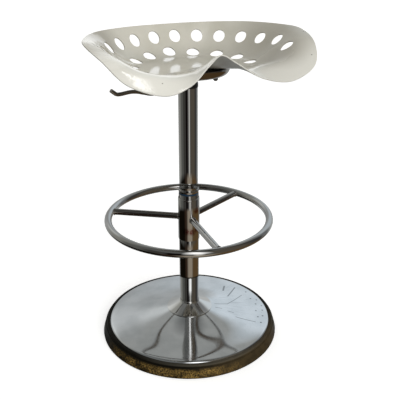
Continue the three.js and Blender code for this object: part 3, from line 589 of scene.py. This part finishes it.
# The wall is a curve from the floor to the rim. It leaves and meets them in their own slope,
# and these shares of its run say how long it keeps to each
FLOOR_PULL = 0.5
RIM_PULL = 0.46
BACK = len(RIM_SHARES) - 1  # the rim's row at the back
# Rows of holes: count, where the row ends, height up the wall at the back and at the ends,
# and how it eases from one to the other
UPPER_ROW = (14, 0.49, 0.705, 0.6, 1.0)
LOWER_ROW = (9, 0.445, 0.3, 0.07, 0.7)


class PanShape:
    """The pan's upper face as a function of u, round the rim, and v, up the wall"""

    def __init__(self, sizes):
        self.floor = sizes.pan_floor
        half = [
            (a * sizes.pan_width / 2, b * sizes.pan_reach, c * sizes.pan_rise, math.radians(d), e)
            for a, b, c, d, e in RIM_SHARES
        ]
        self.rim = half + [(-row[0], *row[1:]) for row in reversed(half[1:-1])]

    def station(self, u):
        whole = math.floor(u)
        t = u - whole
        rows = [self.rim[(whole + k) % len(self.rim)] for k in (-1, 0, 1, 2)]
        return [
            b + t / 2 * (c - a + t * (2 * a - 5 * b + 4 * c - d + t * (3 * (b - c) + d - a)))
            for a, b, c, d in zip(*rows)
        ]

    def at(self, u, v):
        across, forward, rise, slope, foot = self.station(u)
        out = math.hypot(across, forward)
        run = out * (1 - foot)
        pull = run * RIM_PULL
        ends = (
            (out - run, 0.0),
            (out - run + run * FLOOR_PULL, 0.0),
            (out - pull * math.cos(slope), rise - pull * math.sin(slope)),
            (out, rise),
        )
        w = 1 - v
        weights = (w**3, 3 * w * w * v, 3 * w * v * v, v**3)
        reach = sum(k * end[0] for k, end in zip(weights, ends))
        height = sum(k * end[1] for k, end in zip(weights, ends))
        return Vector((across / out * reach, -forward / out * reach, self.floor + height))

    def axes(self, u, v, step=1e-3):
        along = (self.at(u + step, v) - self.at(u - step, v)).normalized()
        up = (self.at(u, v + step) - self.at(u, v - step)).normalized()
        out = up.cross(along).normalized()
        return along, out, along.cross(out)

    def row(self, count, end, back, side, ease, steps=400):
        """Evenly spaced places along a row of holes, mirrored about the back"""

        def spot(i):
            where = 2 * i / steps - 1
            return BACK + where * end * BACK, back - (back - side) * abs(where) ** ease

        gone = [0.0]
        for i in range(1, steps + 1):
            gone.append(gone[-1] + (self.at(*spot(i)) - self.at(*spot(i - 1))).length)
        places = []
        for hole in range(count):
            wanted = gone[-1] * hole / (count - 1)
            i = next(k for k in range(1, steps + 1) if gone[k] >= wanted - 1e-9)
            places.append(spot(i - 1 + (wanted - gone[i - 1]) / (gone[i] - gone[i - 1])))
        return places


PAN_ROUND = 12  # columns between two stations of the rim
PAN_ROWS = 52
FLOOR_RINGS = (0.72, 0.42, 0.14)  # shares of the floor's width at the rings that close it


def grown(bm, edges):
    """The corners and edges of the new ring that grows from a ring of edges"""
    parts = bmesh.ops.extrude_edge_only(bm, edges=edges)["geom"]
    corners = {part for part in parts if isinstance(part, bmesh.types.BMVert)}
    sides = [part for part in parts if isinstance(part, bmesh.types.BMEdge)]
    return corners, [side for side in sides if corners.issuperset(side.verts)]


def pan_sheet(shape, thickness):
    """The sheet before it is pierced: a disc grown ring by ring up the wall, then thickened"""
    columns = len(shape.rim) * PAN_ROUND
    bm = bmesh.new()
    ring = bmesh.ops.create_circle(bm, segments=columns, radius=1.0)["verts"]
    ring.sort(key=lambda v: math.atan2(v.co.y, v.co.x) % (2 * math.pi))
    ring = ring[3 * columns // 4 :] + ring[: 3 * columns // 4]
    for i, vert in enumerate(ring):
        vert.co = shape.at(i / PAN_ROUND, 0.0)
    foot = set(ring)
    edges = bm.edges[:]
    for row in range(1, PAN_ROWS + 1):
        corners, edges = grown(bm, edges)
        below = set(ring)
        sides = [(edge.other_vert(vert), vert) for vert in corners for edge in vert.link_edges]
        above = {lower: vert for lower, vert in sides if lower in below}
        ring = [above[vert] for vert in ring]
        for i, vert in enumerate(ring):
            vert.co = shape.at(i / PAN_ROUND, row / PAN_ROWS)
    # The flat floor closes in rings to its middle
    edges = [edge for edge in bm.edges if edge.is_boundary and foot.issuperset(edge.verts)]
    reach = 1.0
    for inner in FLOOR_RINGS:
        corners, edges = grown(bm, edges)
        for vert in corners:
            vert.co.x *= inner / reach
            vert.co.y *= inner / reach
        reach = inner
    bmesh.ops.contextual_create(bm, geom=edges)
    bmesh.ops.recalc_face_normals(bm, faces=bm.faces)
    middle = max(bm.faces, key=lambda face: face.calc_area())
    if middle.normal.z < 0:
        bmesh.ops.reverse_faces(bm, faces=bm.faces)
    bm.normal_update()
    bmesh.ops.solidify(bm, geom=bm.faces[:], thickness=thickness)
    bm.normal_update()
    return bm


def add_drill(tools, shape, place, sizes):
    """Adds a round cutter, square to the wall, as wide, high and deep as its sizes"""
    along, out, across = shape.axes(*place)
    rod = bmesh.ops.create_cone(
        tools, cap_ends=True, segments=ROUND_HOLE, radius1=0.5, radius2=0.5, depth=1.0
    )
    pose = Matrix((along, across, -out)).transposed().to_4x4()
    pose.translation = shape.at(*place)
    stretch = Matrix.Diagonal((*sizes, 1.0))
    bmesh.ops.transform(tools, matrix=pose @ stretch, verts=rod["verts"])


class Step:
    """What every step of the stool has"""

    bl_options = {"REGISTER", "UNDO"}


UPPER_HOLE_SHAPE = 0.86  # width of an upper hole as a share of its height
CARD_LIT = "lit_by_back_card"  # the collection that the card and the window light


class STOOL_OT_pan(Step, bpy.types.Operator):
    """Press the seat pan, roll its rim and pierce its two rows of holes"""

    bl_idname = "stool.pan"
    bl_label = "Seat pan"

    def execute(self, context):
        sizes = context.scene.stool_sizes
        shape = PanShape(sizes)
        bm = pan_sheet(shape, sizes.pan_sheet)
        round_edges(bm, 60, 0.9 * MM, 3)
        pan = placed(bm, "pierced_pan", "column", "ivory_paint", ["seat_pan"])
        depth = sizes.pan_sheet * 8
        upper = (sizes.upper_hole * UPPER_HOLE_SHAPE, sizes.upper_hole, depth)
        lower = (sizes.lower_hole, sizes.lower_hole, depth)
        tools = bmesh.new()
        for row, hole in ((UPPER_ROW, upper), (LOWER_ROW, lower)):
            for place in shape.row(*row):
                add_drill(tools, shape, place, hole)
        bmesh.ops.recalc_face_normals(tools, faces=tools.faces)
        cut(pan, object_of(tools, "hole_tools"))
        pierced = bmesh.new()
        pierced.from_mesh(pan.data)
        bmesh.ops.remove_doubles(pierced, verts=pierced.verts, dist=0.02 * MM)
        shade(pierced, SMOOTH_UP_TO)
        pierced.to_mesh(pan.data)
        pierced.free()
        bpy.data.collections[CARD_LIT].objects.link(pan)
        return {"FINISHED"}


DISH_SWEEP = 1.45  # radians that the curve of the dish's wall turns through
DISH_STEPS = 14
DISH_SHARP = 50  # degrees past which its edges stay crisp


class STOOL_OT_dish(Step, bpy.types.Operator):
    """Spin the chrome dish under the pan"""

    bl_idname = "stool.dish"
    bl_label = "Chrome dish"

    def execute(self, context):
        sizes = context.scene.stool_sizes
        low, high = levels_of("seat_housing")
        rim, floor, sheet = sizes.dish_rim, sizes.dish_floor, sizes.dish_sheet
        bore = sizes.hub_neck + PLAY
        outside, inside = [(bore, low)], [(bore, low + sheet)]
        for i in range(DISH_STEPS + 1):
            angle = DISH_SWEEP * i / DISH_STEPS
            r = floor + (rim - floor) * math.sin(angle) / math.sin(DISH_SWEEP)
            z = low + (high - low) * (1 - math.cos(angle)) / (1 - math.cos(DISH_SWEEP))
            lean = math.atan2((high - low) * math.sin(angle), (rim - floor) * math.cos(angle))
            outside.append((r, z))
            if z < high - sheet:
                inside.append((r - sheet * math.sin(lean), z + sheet * math.cos(lean)))
        inside.append((rim - sheet, high))
        bm = turned(outside + inside[::-1], ROUND_TUBE)
        # The dish takes the darker chrome, painted shade
        placed(bm, "chrome_dish", "column", "shaded_chrome", ["seat_housing"], DISH_SHARP)
        return {"FINISHED"}


HUB_SKIRT, HUB_TAPER = 8 * MM, 13 * MM  # heights of its wide foot and of the taper over it
HUB_SOCKET, HUB_BORE = 14.3 * MM, 3.35 * MM  # radii round the gas spring and its pin
SLOT_REACH, SLOT_HEIGHT = 32 * MM, 17 * MM
SLOT_BACK, SLOT_FOOT = 7 * MM, 11 * MM  # past the column's axis, and above the hub's foot
LEVER_TURN = 10  # degrees forward of straight sideways


class STOOL_OT_hub(Step, bpy.types.Operator):
    """Mould the black hub with the lever's slot"""

    bl_idname = "stool.hub"
    bl_label = "Seat hub"

    def execute(self, context):
        sizes = context.scene.stool_sizes
        low, high = levels_of("seat_hub")
        skirt, neck, step = radius_of("seat_hub"), sizes.hub_neck, low + HUB_SKIRT
        outside = [(HUB_SOCKET, low), (skirt, low), (skirt, step), (neck, low + HUB_TAPER)]
        inside = [(neck, high), (HUB_BORE, high), (HUB_BORE, step), (HUB_SOCKET, step)]
        bm = turned(outside + inside, ROUND_HUB, 0.5 * MM)
        hub = placed(bm, "black_hub", "column", "black_plastic", ["seat_hub"])
        slot = bmesh.new()
        bmesh.ops.create_cube(slot, size=1.0)
        centre = Vector((SLOT_REACH / 2 - SLOT_BACK, 0, low + SLOT_FOOT + SLOT_HEIGHT / 2))
        stretch = Matrix.Diagonal((SLOT_REACH, sizes.hub_slot, SLOT_HEIGHT, 1.0))
        turn = Matrix.Rotation(math.radians(180 + LEVER_TURN), 4, "Z")
        pose = turn @ Matrix.Translation(centre) @ stretch
        bmesh.ops.transform(slot, matrix=pose, verts=slot.verts)
        cut(hub, object_of(slot, "slot_tool"))
        return {"FINISHED"}


class STOOL_OT_column(Step, bpy.types.Operator):
    """Draw the column's tubes and the rings at their joint"""

    bl_idname = "stool.column"
    bl_label = "Column"

    def execute(self, context):
        sizes = context.scene.stool_sizes
        fixed, lifting = radius_of("lower_tube"), radius_of("upper_tube")
        bore = fixed - sizes.fixed_wall
        inner = lifting - sizes.lifting_wall
        for name, body, slot, node, wall, edge in (
            ("fixed_tube", "base", "chrome_plate", "lower_tube", (bore, fixed), 0.4),
            ("blue_guide", "base", "blue_plastic", "guide_ring", (bore, fixed - 0.4 * MM), 0.2),
            ("mouth_collar", "base", "chrome_plate", "mouth_ring", (bore, fixed), 0.6),
            ("lifting_tube", "column", "chrome_plate", "upper_tube", (inner, lifting), 0.3),
        ):
            bm = tube(*wall, *levels_of(node), ROUND_TUBE, edge * MM)
            placed(bm, name, body, slot, [node])
        return {"FINISHED"}


SPOKE_DEGREES = (-95.5, 24.5, 144.5)
# The sleeve's upper lip, in millimetres inwards and down from its edge
SLEEVE_LIP = ((0, 1.2), (0.35, 0.35), (1.2, 0))
SPOKE_ENDS = (0.6 * MM, 1.2 * MM)  # how far a spoke goes into the sleeve and the ring
BEAD = 1.1 * MM  # radius of the weld beads


class STOOL_OT_foot_ring(Step, bpy.types.Operator):
    """Bend the foot ring, weld its spokes and slide its sleeve on the column"""

    bl_idname = "stool.foot_ring"
    bl_label = "Foot ring"

    def execute(self, context):
        sizes = context.scene.stool_sizes
        low, high = levels_of("foot_ring")
        level = (low + high) / 2
        bm = hoop(sizes.ring_tube, 28, sizes.ring_radius, level, ROUND_BASE)
        placed(bm, "round_foot_ring", "base", "chrome_plate", ["foot_ring"])
        low, high = levels_of("foot_sleeve")
        outer = radius_of("foot_sleeve")
        bore = outer - sizes.fixed_wall
        lip = [(outer - inset * MM, high - drop * MM) for inset, drop in SLEEVE_LIP]
        outline = [(bore, low), (outer, low), *lip, (bore, high)]
        bm = turned(outline, ROUND_TUBE, 0.2 * MM)
        placed(bm, "ring_sleeve", "base", "stained_chrome", ["foot_sleeve"])
        near = outer - SPOKE_ENDS[0]
        far = sizes.ring_radius - sizes.ring_tube + SPOKE_ENDS[1]
        for index, degrees in enumerate(SPOKE_DEGREES, 1):
            bm = self.spoke(math.radians(degrees), near, far, level, sizes.spoke_tube)
            # The first spoke takes the plain chrome, the other two the darker chrome, painted shade
            plate = "chrome_plate" if index == 1 else "shaded_chrome"
            placed(bm, f"welded_spoke_{index}", "base", plate, [f"foot_spoke_{index}"])
        return {"FINISHED"}

    def spoke(self, turn, near, far, level, radius):
        """A capped rod with a low plated-over weld bead at each end"""
        way, up = Vector((math.cos(turn), math.sin(turn), 0)), Vector((0, 0, level))
        start, end = way * near + up, way * far + up
        span = end - start
        bm = bmesh.new()
        rod = {"radius1": radius, "radius2": radius, "depth": span.length}
        bmesh.ops.create_cone(bm, cap_ends=True, segments=ROUND_SPOKE, **rod)
        bmesh.ops.transform(bm, matrix=pointed(span, (start + end) / 2), verts=bm.verts)
        for at, towards in ((start, way), (end, -way)):
            weld = hoop(BEAD, 10, radius, 0, ROUND_SPOKE)
            pose = pointed(towards, at + towards * BEAD)
            bmesh.ops.transform(weld, matrix=pose, verts=weld.verts)
            joined(bm, weld)
        return bm


# Radius and height along the base cover, in millimetres: a rolled edge, then nearly flat, and
# steepest at the rosette
COVER_PROFILE = [(183.6, 28.5), (182.5, 29.8), (181, 30.7), (178, 31.5), (164, 33.3), (150, 34.4)]
COVER_PROFILE += [(135, 35.7), (117, 37.8), (100, 41.0), (85, 44.6), (68, 49.1), (51.5, 54.0)]
COVER_PROFILE += [(40, 57.3)]
COVER_STEPS = 8  # steps of each of its runs
FAIRING_PASSES = 60
# The rosette's outline, in millimetres: its lip, inwards from the edge and up from the foot;
# its neck, outwards from the tube and down from the top; and its underside, as the lip
ROSETTE_LIP = ((1.2, 0.4), (0, 0), (0, 1.6), (1.6, 2.2))
ROSETTE_NECK = ((1.2, 4.0), (1.5, 3.25), (1.5, 0.75), (0.8, 0), (0, 0), (0, 5.2))
ROSETTE_UNDER = ((2.8, 1.0), (1.2, 0.8))
# The skirt's outline, in millimetres inwards from its outside and up from the floor
SKIRT_OUTLINE = [(17.7, 0), (1.6, 0), (0, 1.6), (0, 4.2), (5.5, 23), (7.7, 23.2), (7.7, 25.4)]
SKIRT_OUTLINE += [(9.6, 28.5), (16.1, 28.8), (16.1, 27), (17.7, 27)]


def through(points, steps, passes):
    """A smooth line through (radius, height) points, each run in so many steps, then faired"""
    runs = [(b[0] - a[0], (b[1] - a[1]) / (b[0] - a[0])) for a, b in zip(points, points[1:])]
    slopes = [runs[0][1]]
    for (width, slope), (next_width, next_slope) in zip(runs, runs[1:]):
        slopes.append((slope * next_width + next_slope * width) / (width + next_width))
    slopes.append(runs[-1][1])
    line = []
    for i, (width, _) in enumerate(runs):
        (r, z), z_end = points[i], points[i + 1][1]
        for k in range(steps):
            t = k / steps
            ease = t * t * (3 - 2 * t)
            lift = t * (1 - t) ** 2 * slopes[i] - t * t * (1 - t) * slopes[i + 1]
            line.append((r + width * t, z + (z_end - z) * ease + width * lift))
    line.append(points[-1])
    # Each pass moves the inner points halfway to the middle of their neighbours
    for _ in range(passes):
        threes = zip(line, line[1:], line[2:])
        middles = [tuple((a + 2 * b + c) / 4 for a, b, c in zip(*three)) for three in threes]
        line = [line[0], *middles, line[-1]]
    return line


class STOOL_OT_base(Step, bpy.types.Operator):
    """Spin the base cover, its rosette and the rubber skirt"""

    bl_idname = "stool.base"
    bl_label = "Round base"

    def execute(self, context):
        sizes = context.scene.stool_sizes
        points = [(r * MM, z * MM) for r, z in COVER_PROFILE]
        top = through(points, COVER_STEPS, FAIRING_PASSES)
        under = [(r, z - sizes.base_sheet) for r, z in top]
        bm = turned(under[::-1] + top, ROUND_BASE)
        placed(bm, "domed_cover", "base", "polished_steel", ["base_cover"])
        low, high = levels_of("column_rosette")
        edge, neck = sizes.rosette_edge, radius_of("lower_tube") + PLAY
        lip = [(edge - inset * MM, low + rise * MM) for inset, rise in ROSETTE_LIP]
        top = [(neck + outset * MM, high - drop * MM) for outset, drop in ROSETTE_NECK]
        under = [(edge - inset * MM, low + rise * MM) for inset, rise in ROSETTE_UNDER]
        bm = turned(lip + top + under, ROUND_ROSETTE, 0.25 * MM)
        # The rosette takes the brighter chrome, painted light
        placed(bm, "chrome_rosette", "base", "lit_chrome", ["column_rosette"])
        outer = radius_of("base_skirt")
        bm = turned([(outer - x * MM, z * MM) for x, z in SKIRT_OUTLINE], ROUND_BASE, 0.5 * MM)
        placed(bm, "rubber_skirt", "base", "aged_rubber", ["base_skirt"])
        return {"FINISHED"}


LEVER_AXIS = 18.2 * MM  # above the hub's foot
# Out from the column and up from its axis along the lever, in millimetres
LEVER_CORNERS = ((-3, 0), (23, 0), (77, -24), (127, -9), (163, -11.5), (176, -1))
LEVER_BENDS = (0.35, 0.35, 0.35, 0.3)  # share of its runs that each bend takes
BEND_STEPS = 10


def bent(points, shares, steps):
    """The points' line with each inner corner replaced by a curve"""
    path = [points[0]]
    for i, share_of_run in enumerate(shares, 1):
        here = points[i]
        start = here.lerp(points[i - 1], share_of_run)
        end = here.lerp(points[i + 1], share_of_run)
        for t in (k / steps for k in range(steps + 1)):
            path.append(start.lerp(here, t).lerp(here.lerp(end, t), t))
    path.append(points[-1])
    return path


class STOOL_OT_lever(Step, bpy.types.Operator):
    """Bend the lever's rod and round its ends"""

    bl_idname = "stool.lever"
    bl_label = "Height lever"

    def execute(self, context):
        axis = levels_of("seat_hub")[0] + LEVER_AXIS
        turn = math.radians(LEVER_TURN)
        way = Vector((-math.cos(turn), -math.sin(turn), 0))
        points = [way * out * MM + Vector((0, 0, axis + up * MM)) for out, up in LEVER_CORNERS]
        path = bent(points, LEVER_BENDS, BEND_STEPS)
        curve = bpy.data.curves.new("lever_line", "CURVE")
        curve.dimensions = "3D"
        curve.bevel_depth = context.scene.stool_sizes.lever_rod
        curve.bevel_resolution = 7
        curve.use_fill_caps = True
        line = curve.splines.new("POLY")
        line.points.add(len(path) - 1)
        for point, place in zip(line.points, path):
            point.co = (*place, 1.0)
        rod = linked("lever_line", curve)
        mesh = bpy.data.meshes.new_from_object(rod)
        bpy.data.objects.remove(rod)
        bpy.data.curves.remove(curve)
        bm = bmesh.new()
        bm.from_mesh(mesh)
        bpy.data.meshes.remove(mesh)
        bmesh.ops.remove_doubles(bm, verts=bm.verts, dist=MERGED)
        round_edges(bm, 60, 1.1 * MM, 4)
        bmesh.ops.recalc_face_normals(bm, faces=bm.faces)
        # The lever takes the darker chrome, painted shade
        placed(bm, "bent_lever", "lever", "shaded_chrome", ["height_lever"])
        return {"FINISHED"}


BOLT_SHANK, BOLT_HEAD_HEIGHT = 3 * MM, 2.2 * MM
WASHER = (3.3 * MM, 6 * MM)  # radii of its bore and its edge
NUT_CORNER = 4.9 * MM


class STOOL_OT_fastenings(Step, bpy.types.Operator):
    """Turn the sunk bolts of the dish, their washers and nuts"""

    bl_idname = "stool.fastenings"
    bl_label = "Seat fastenings"

    def execute(self, context):
        for i in (1, 2, 3, 4):
            low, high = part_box(f"seat_bolt_{i}")
            centre = ((low.x + high.x) / 2, (low.y + high.y) / 2, 0)
            shank = [(0, low.z), (BOLT_SHANK, low.z), (BOLT_SHANK, high.z - BOLT_HEAD_HEIGHT)]
            head = [((high.y - low.y) / 2, high.z), (0, high.z)]
            washer, nut = levels_of(f"seat_washer_{i}"), levels_of(f"seat_nut_{i}")
            for name, node, bm in (
                ("sunk_bolt", "seat_bolt", turned(shank + head, ROUND_BOLT, closed=False)),
                ("plain_washer", "seat_washer", tube(*WASHER, *washer, ROUND_BOLT, 0.2 * MM)),
                ("hexagon_nut", "seat_nut", self.nut(*nut)),
            ):
                bmesh.ops.translate(bm, verts=bm.verts, vec=centre)
                placed(bm, f"{name}_{i}", "column", "bare_steel", [f"{node}_{i}"])
        return {"FINISHED"}

    def nut(self, low, high):
        bm = bmesh.new()
        sides = {"segments": 6, "radius1": NUT_CORNER, "radius2": NUT_CORNER}
        bmesh.ops.create_cone(bm, cap_ends=True, depth=high - low, **sides)
        round_edges(bm, 30, 0.5 * MM, 3)
        bmesh.ops.translate(bm, verts=bm.verts, vec=(0, 0, (low + high) / 2))
        return bm


class STOOL_OT_inside(Step, bpy.types.Operator):
    """Give the hidden solids of the base, column and hub their finishes"""

    bl_idname = "stool.inside"
    bl_label = "Hidden pieces"

    def execute(self, context):
        slots = {row["node"]: row["material_slot"] for row in frame["record"]["subparts"]}
        for name, solid in frame["nodes"].items():
            material = finish(slots[name])
            if not solid.data.materials:
                solid.data.materials.append(material)
            for i in range(len(solid.data.materials)):
                solid.data.materials[i] = material
        return {"FINISHED"}


# The studio as the chrome sees it, in tones as they look in chrome. Each card stands round the
# stool in degrees from the camera, positive to its right: middle, half its width, soft side;
# lowest and highest elevation, soft edge; tone. A later card stands in front of an earlier one.
ROOM_TONE = "505150"
STUDIO_CARDS = (
    ((180, 65, 22), (-90, 34, 12), "8E9090"),  # pale back wall and floor
    ((180, 65, 22), (42, 56, 8), "727371"),  # its upper part
    ((-166, 12, 14), (-90, 24, 8), "7C7E7E"),  # shaded corner at the far left
    ((-137, 16, 12), (26, 36, 6), "A2A4A3"),  # skylight above it
    ((156, 18, 18), (12, 36, 8), "9FA6AB"),  # cool daylight from the far right
    ((-108, 10, 22), (-90, 40, 12), "74746F"),  # grey wall to the left
    ((-72, 14, 12), (-90, 30, 12), "4E4F4C"),
    ((-44, 10, 12), (-90, 30, 10), "33322F"),
    ((-17, 10, 8), (-90, 26, 8), "0D0908"),  # dark doorway
    ((60, 28, 14), (-90, 58, 8), "48433B"),  # timber front to the right
    ((98, 11, 11), (-90, 58, 8), "302F2E"),
    ((120, 5, 11), (-90, 46, 10), "5C5E60"),
    ((14, 3.5, 5), (-90, 22, 8), "B4B2AE"),  # tall lit gap beside the doorway
    ((12, 8, 14), (17, 70, 8), "FFFFFF"),  # window above it
    ((0, 180, 1), (76, 90, 8), "252523"),  # dark roof
    ((-85, 46, 20), (-90, -24.5, 2), "0D0A06"),  # dark floor on the left
    ((-30, 7, 14), (-90, -24.5, 2), "2E2219"),
    ((14, 22, 16), (-90, -24.5, 2), "82796C"),  # worn floor in front
    ((92, 42, 14), (-90, -24.5, 2), "4F3E28"),  # brown floor on the right
)
CARD_GAIN = 1.68  # strength of the cards
DOME_SHARE = 0.31  # strength of the soft light from above, and from below
BOUNCE_SHARE = 0.11
CAMERA_PLACE = (-558.2, -1174.3, 874.8)  # in millimetres
CAMERA_TURN = 26.5  # degrees round the column, and down
CAMERA_DIP = 23.105


def studio_world(world):
    """Soft white dome for the light, and the carded studio for what the chrome mirrors"""
    world.use_nodes = True
    room = Nodes(world.node_tree)
    way = room.add("TexCoord", out="Generated")
    spin = {"Vector": way, "Angle": math.radians(CAMERA_TURN)}
    facing = room.add("VectorRotate", spin, rotation_type="Z_AXIS")
    across = room.add("SeparateXYZ", {"Vector": facing}).node.outputs
    towards = room.add("Math", {0: across["Y"], 1: -1.0}, operation="MULTIPLY")
    turn = room.add("Math", {0: across["X"], 1: towards}, operation="ARCTAN2")
    rise = room.add("Math", {0: across["Z"]}, operation="ARCSINE")
    tone = linear(ROOM_TONE)
    for card in STUDIO_CARDS:
        tone = in_front(room, card, turn, rise, tone)
    seen = room.add("Background", {"Color": tone, "Strength": CARD_GAIN})
    up = room.add("MapRange", {"Value": across["Z"], "From Min": -0.1, "From Max": 0.05})
    dome = room.add("Background", {"Color": linear("FFFEFB"), "Strength": DOME_SHARE})
    below = room.add("Background", {"Color": linear("FFFCF6"), "Strength": BOUNCE_SHARE})
    soft = room.add("MixShader", {0: up, 1: below, 2: dome})
    glossy = room.add("LightPath", out="Is Glossy Ray")
    lit = room.add("MixShader", {0: glossy, 1: soft, 2: seen})
    # Looked at straight, the studio is plain paper up to its roof
    paper = room.add("Background", {"Color": linear("F8F8F7")})
    straight = glossy.node.outputs["Is Camera Ray"]
    room.add("OutputWorld", {"Surface": room.add("MixShader", {0: straight, 1: lit, 2: paper})})


def in_front(room, card, turn, rise, behind):
    """A soft-edged card in front of what the room has so far"""
    (middle, half, side), (low, high, edge), tone = card
    middle, half, side, low, high, edge = map(math.radians, (middle, half, side, low, high, edge))
    away = room.add("Math", {0: turn, 1: middle}, operation="SUBTRACT")
    away = room.add("Math", {0: away, 1: math.pi, 2: -math.pi}, operation="WRAP")
    away = room.add("Math", {0: away}, operation="ABSOLUTE")
    limits = {"From Min": half + side, "From Max": half - side / 4}
    mask = room.add("MapRange", {"Value": away, **limits})
    for start, end in ((low - edge, low), (high + edge, high)):
        part = room.add("MapRange", {"Value": rise, "From Min": start, "From Max": end})
        mask = room.add("Math", {0: mask, 1: part}, operation="MULTIPLY")
    return room.add("Mix", {0: mask, 6: behind, 7: linear(tone)}, out=2, data_type="RGBA")


class STOOL_OT_stage(Step, bpy.types.Operator):
    """Lay the pale floor, hang the soft lights and set the camera"""

    bl_idname = "stool.stage"
    bl_label = "Stage"

    def execute(self, context):
        scene = context.scene
        scene.view_settings.view_transform = "Standard"
        self.floor()
        self.lights()
        scene.world = bpy.data.worlds.new("soft_studio")
        studio_world(scene.world)
        self.camera(scene)
        return {"FINISHED"}

    def floor(self):
        bm = bmesh.new()
        bmesh.ops.create_circle(bm, cap_ends=True, segments=96, radius=14.0)
        ground = object_of(bm, "pale_floor")
        paper = Surface("pale_paper")
        look = {"Base Color": linear("EBEBEA"), "Roughness": 0.9, "Specular IOR Level": 0.1}
        glow = {"Emission Color": linear("FFFFFF"), "Emission Strength": 0.62}
        paper.fill(paper.shader, {**look, **glow})
        ground.data.materials.append(paper.material)
        # The chrome mirrors the studio's darker surroundings in place of the paper
        ground.visible_glossy = False
        ground.visible_diffuse = False

    def lights(self):
        suns = (
            self.lamp("soft_key", "SUN", (0.12, -0.925, 0.36), 1.8, angle=math.radians(45)),
            self.lamp("soft_fill", "SUN", (-0.2, 0.93, 0.3), 0.7, angle=math.radians(60)),
        )
        # The studio's cards already stand for the lights in the chrome
        for sun in suns:
            sun.visible_glossy = False
        # A pale wall behind the seat, seen through the pan's holes in its gloss
        sheet = {"shape": "RECTANGLE", "size": 1.7, "size_y": 0.9}
        back = self.lamp("back_card", "AREA", (-0.446, -0.895, -0.27), 4.8, **sheet)
        back.location = (1.0, 2.0, 1.22)
        # A small window over the lever-side lobe
        pane = {"shape": "RECTANGLE", "size": 0.18, "size_y": 0.06, "spread": math.radians(70)}
        window = self.lamp("overhead_window", "AREA", (-0.5, -0.03, -0.86), 0.04, **pane)
        window.location = (0.015, -0.149, 0.925)
        lit = bpy.data.collections.new(CARD_LIT)
        for lamp in (back, window):
            lamp.light_linking.receiver_collection = lit

    def lamp(self, name, kind, towards, energy, **settings):
        """A light that shines from a direction if it is a sun, and else towards it"""
        light = bpy.data.lights.new(name, kind)
        light.energy = energy
        for key, value in settings.items():
            setattr(light, key, value)
        lamp = linked(name, light)
        way = Vector(towards) if kind == "SUN" else -Vector(towards)
        lamp.rotation_euler = way.to_track_quat("Z", "Y").to_euler()
        return lamp

    def camera(self, scene):
        data = bpy.data.cameras.new("photo_camera")
        data.lens = 58.7
        data.sensor_width = 36.0
        data.clip_start = 0.05
        data.clip_end = 60.0
        eye = linked("photo_camera", data)
        eye.location = [along * MM for along in CAMERA_PLACE]
        eye.rotation_euler = (math.radians(90 - CAMERA_DIP), 0, math.radians(-CAMERA_TURN))
        scene.camera = eye


OPERATORS = (
    STOOL_OT_stage,
    STOOL_OT_inside,
    STOOL_OT_base,
    STOOL_OT_column,
    STOOL_OT_foot_ring,
    STOOL_OT_hub,
    STOOL_OT_dish,
    STOOL_OT_pan,
    STOOL_OT_fastenings,
    STOOL_OT_lever,
)


class STOOL_PT_panel(bpy.types.Panel):
    """The stool's steps and settings"""

    bl_label = "Bar stool"
    bl_idname = "STOOL_PT_panel"
    bl_space_type = "VIEW_3D"
    bl_region_type = "UI"
    bl_category = "Stool"

    def draw(self, context):
        for group in (context.scene.stool_sizes, context.scene.stool_finishes):
            box = self.layout.box()
            for key in group.__annotations__:
                box.prop(group, key)
        for operator in OPERATORS:
            self.layout.operator(operator.bl_idname)


CLASSES = (StoolSizes, StoolFinishes, *OPERATORS, STOOL_PT_panel)


def register():
    for cls in CLASSES:
        bpy.utils.register_class(cls)
    bpy.types.Scene.stool_sizes = bpy.props.PointerProperty(type=StoolSizes)
    bpy.types.Scene.stool_finishes = bpy.props.PointerProperty(type=StoolFinishes)


def unregister():
    del bpy.types.Scene.stool_finishes
    del bpy.types.Scene.stool_sizes
    for cls in reversed(CLASSES):
        bpy.utils.unregister_class(cls)


def main():
    register()
    for operator in OPERATORS:
        group, name = operator.bl_idname.split(".")
        getattr(getattr(bpy.ops, group), name)()
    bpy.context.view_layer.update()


if __name__ == "__main__":
    main()
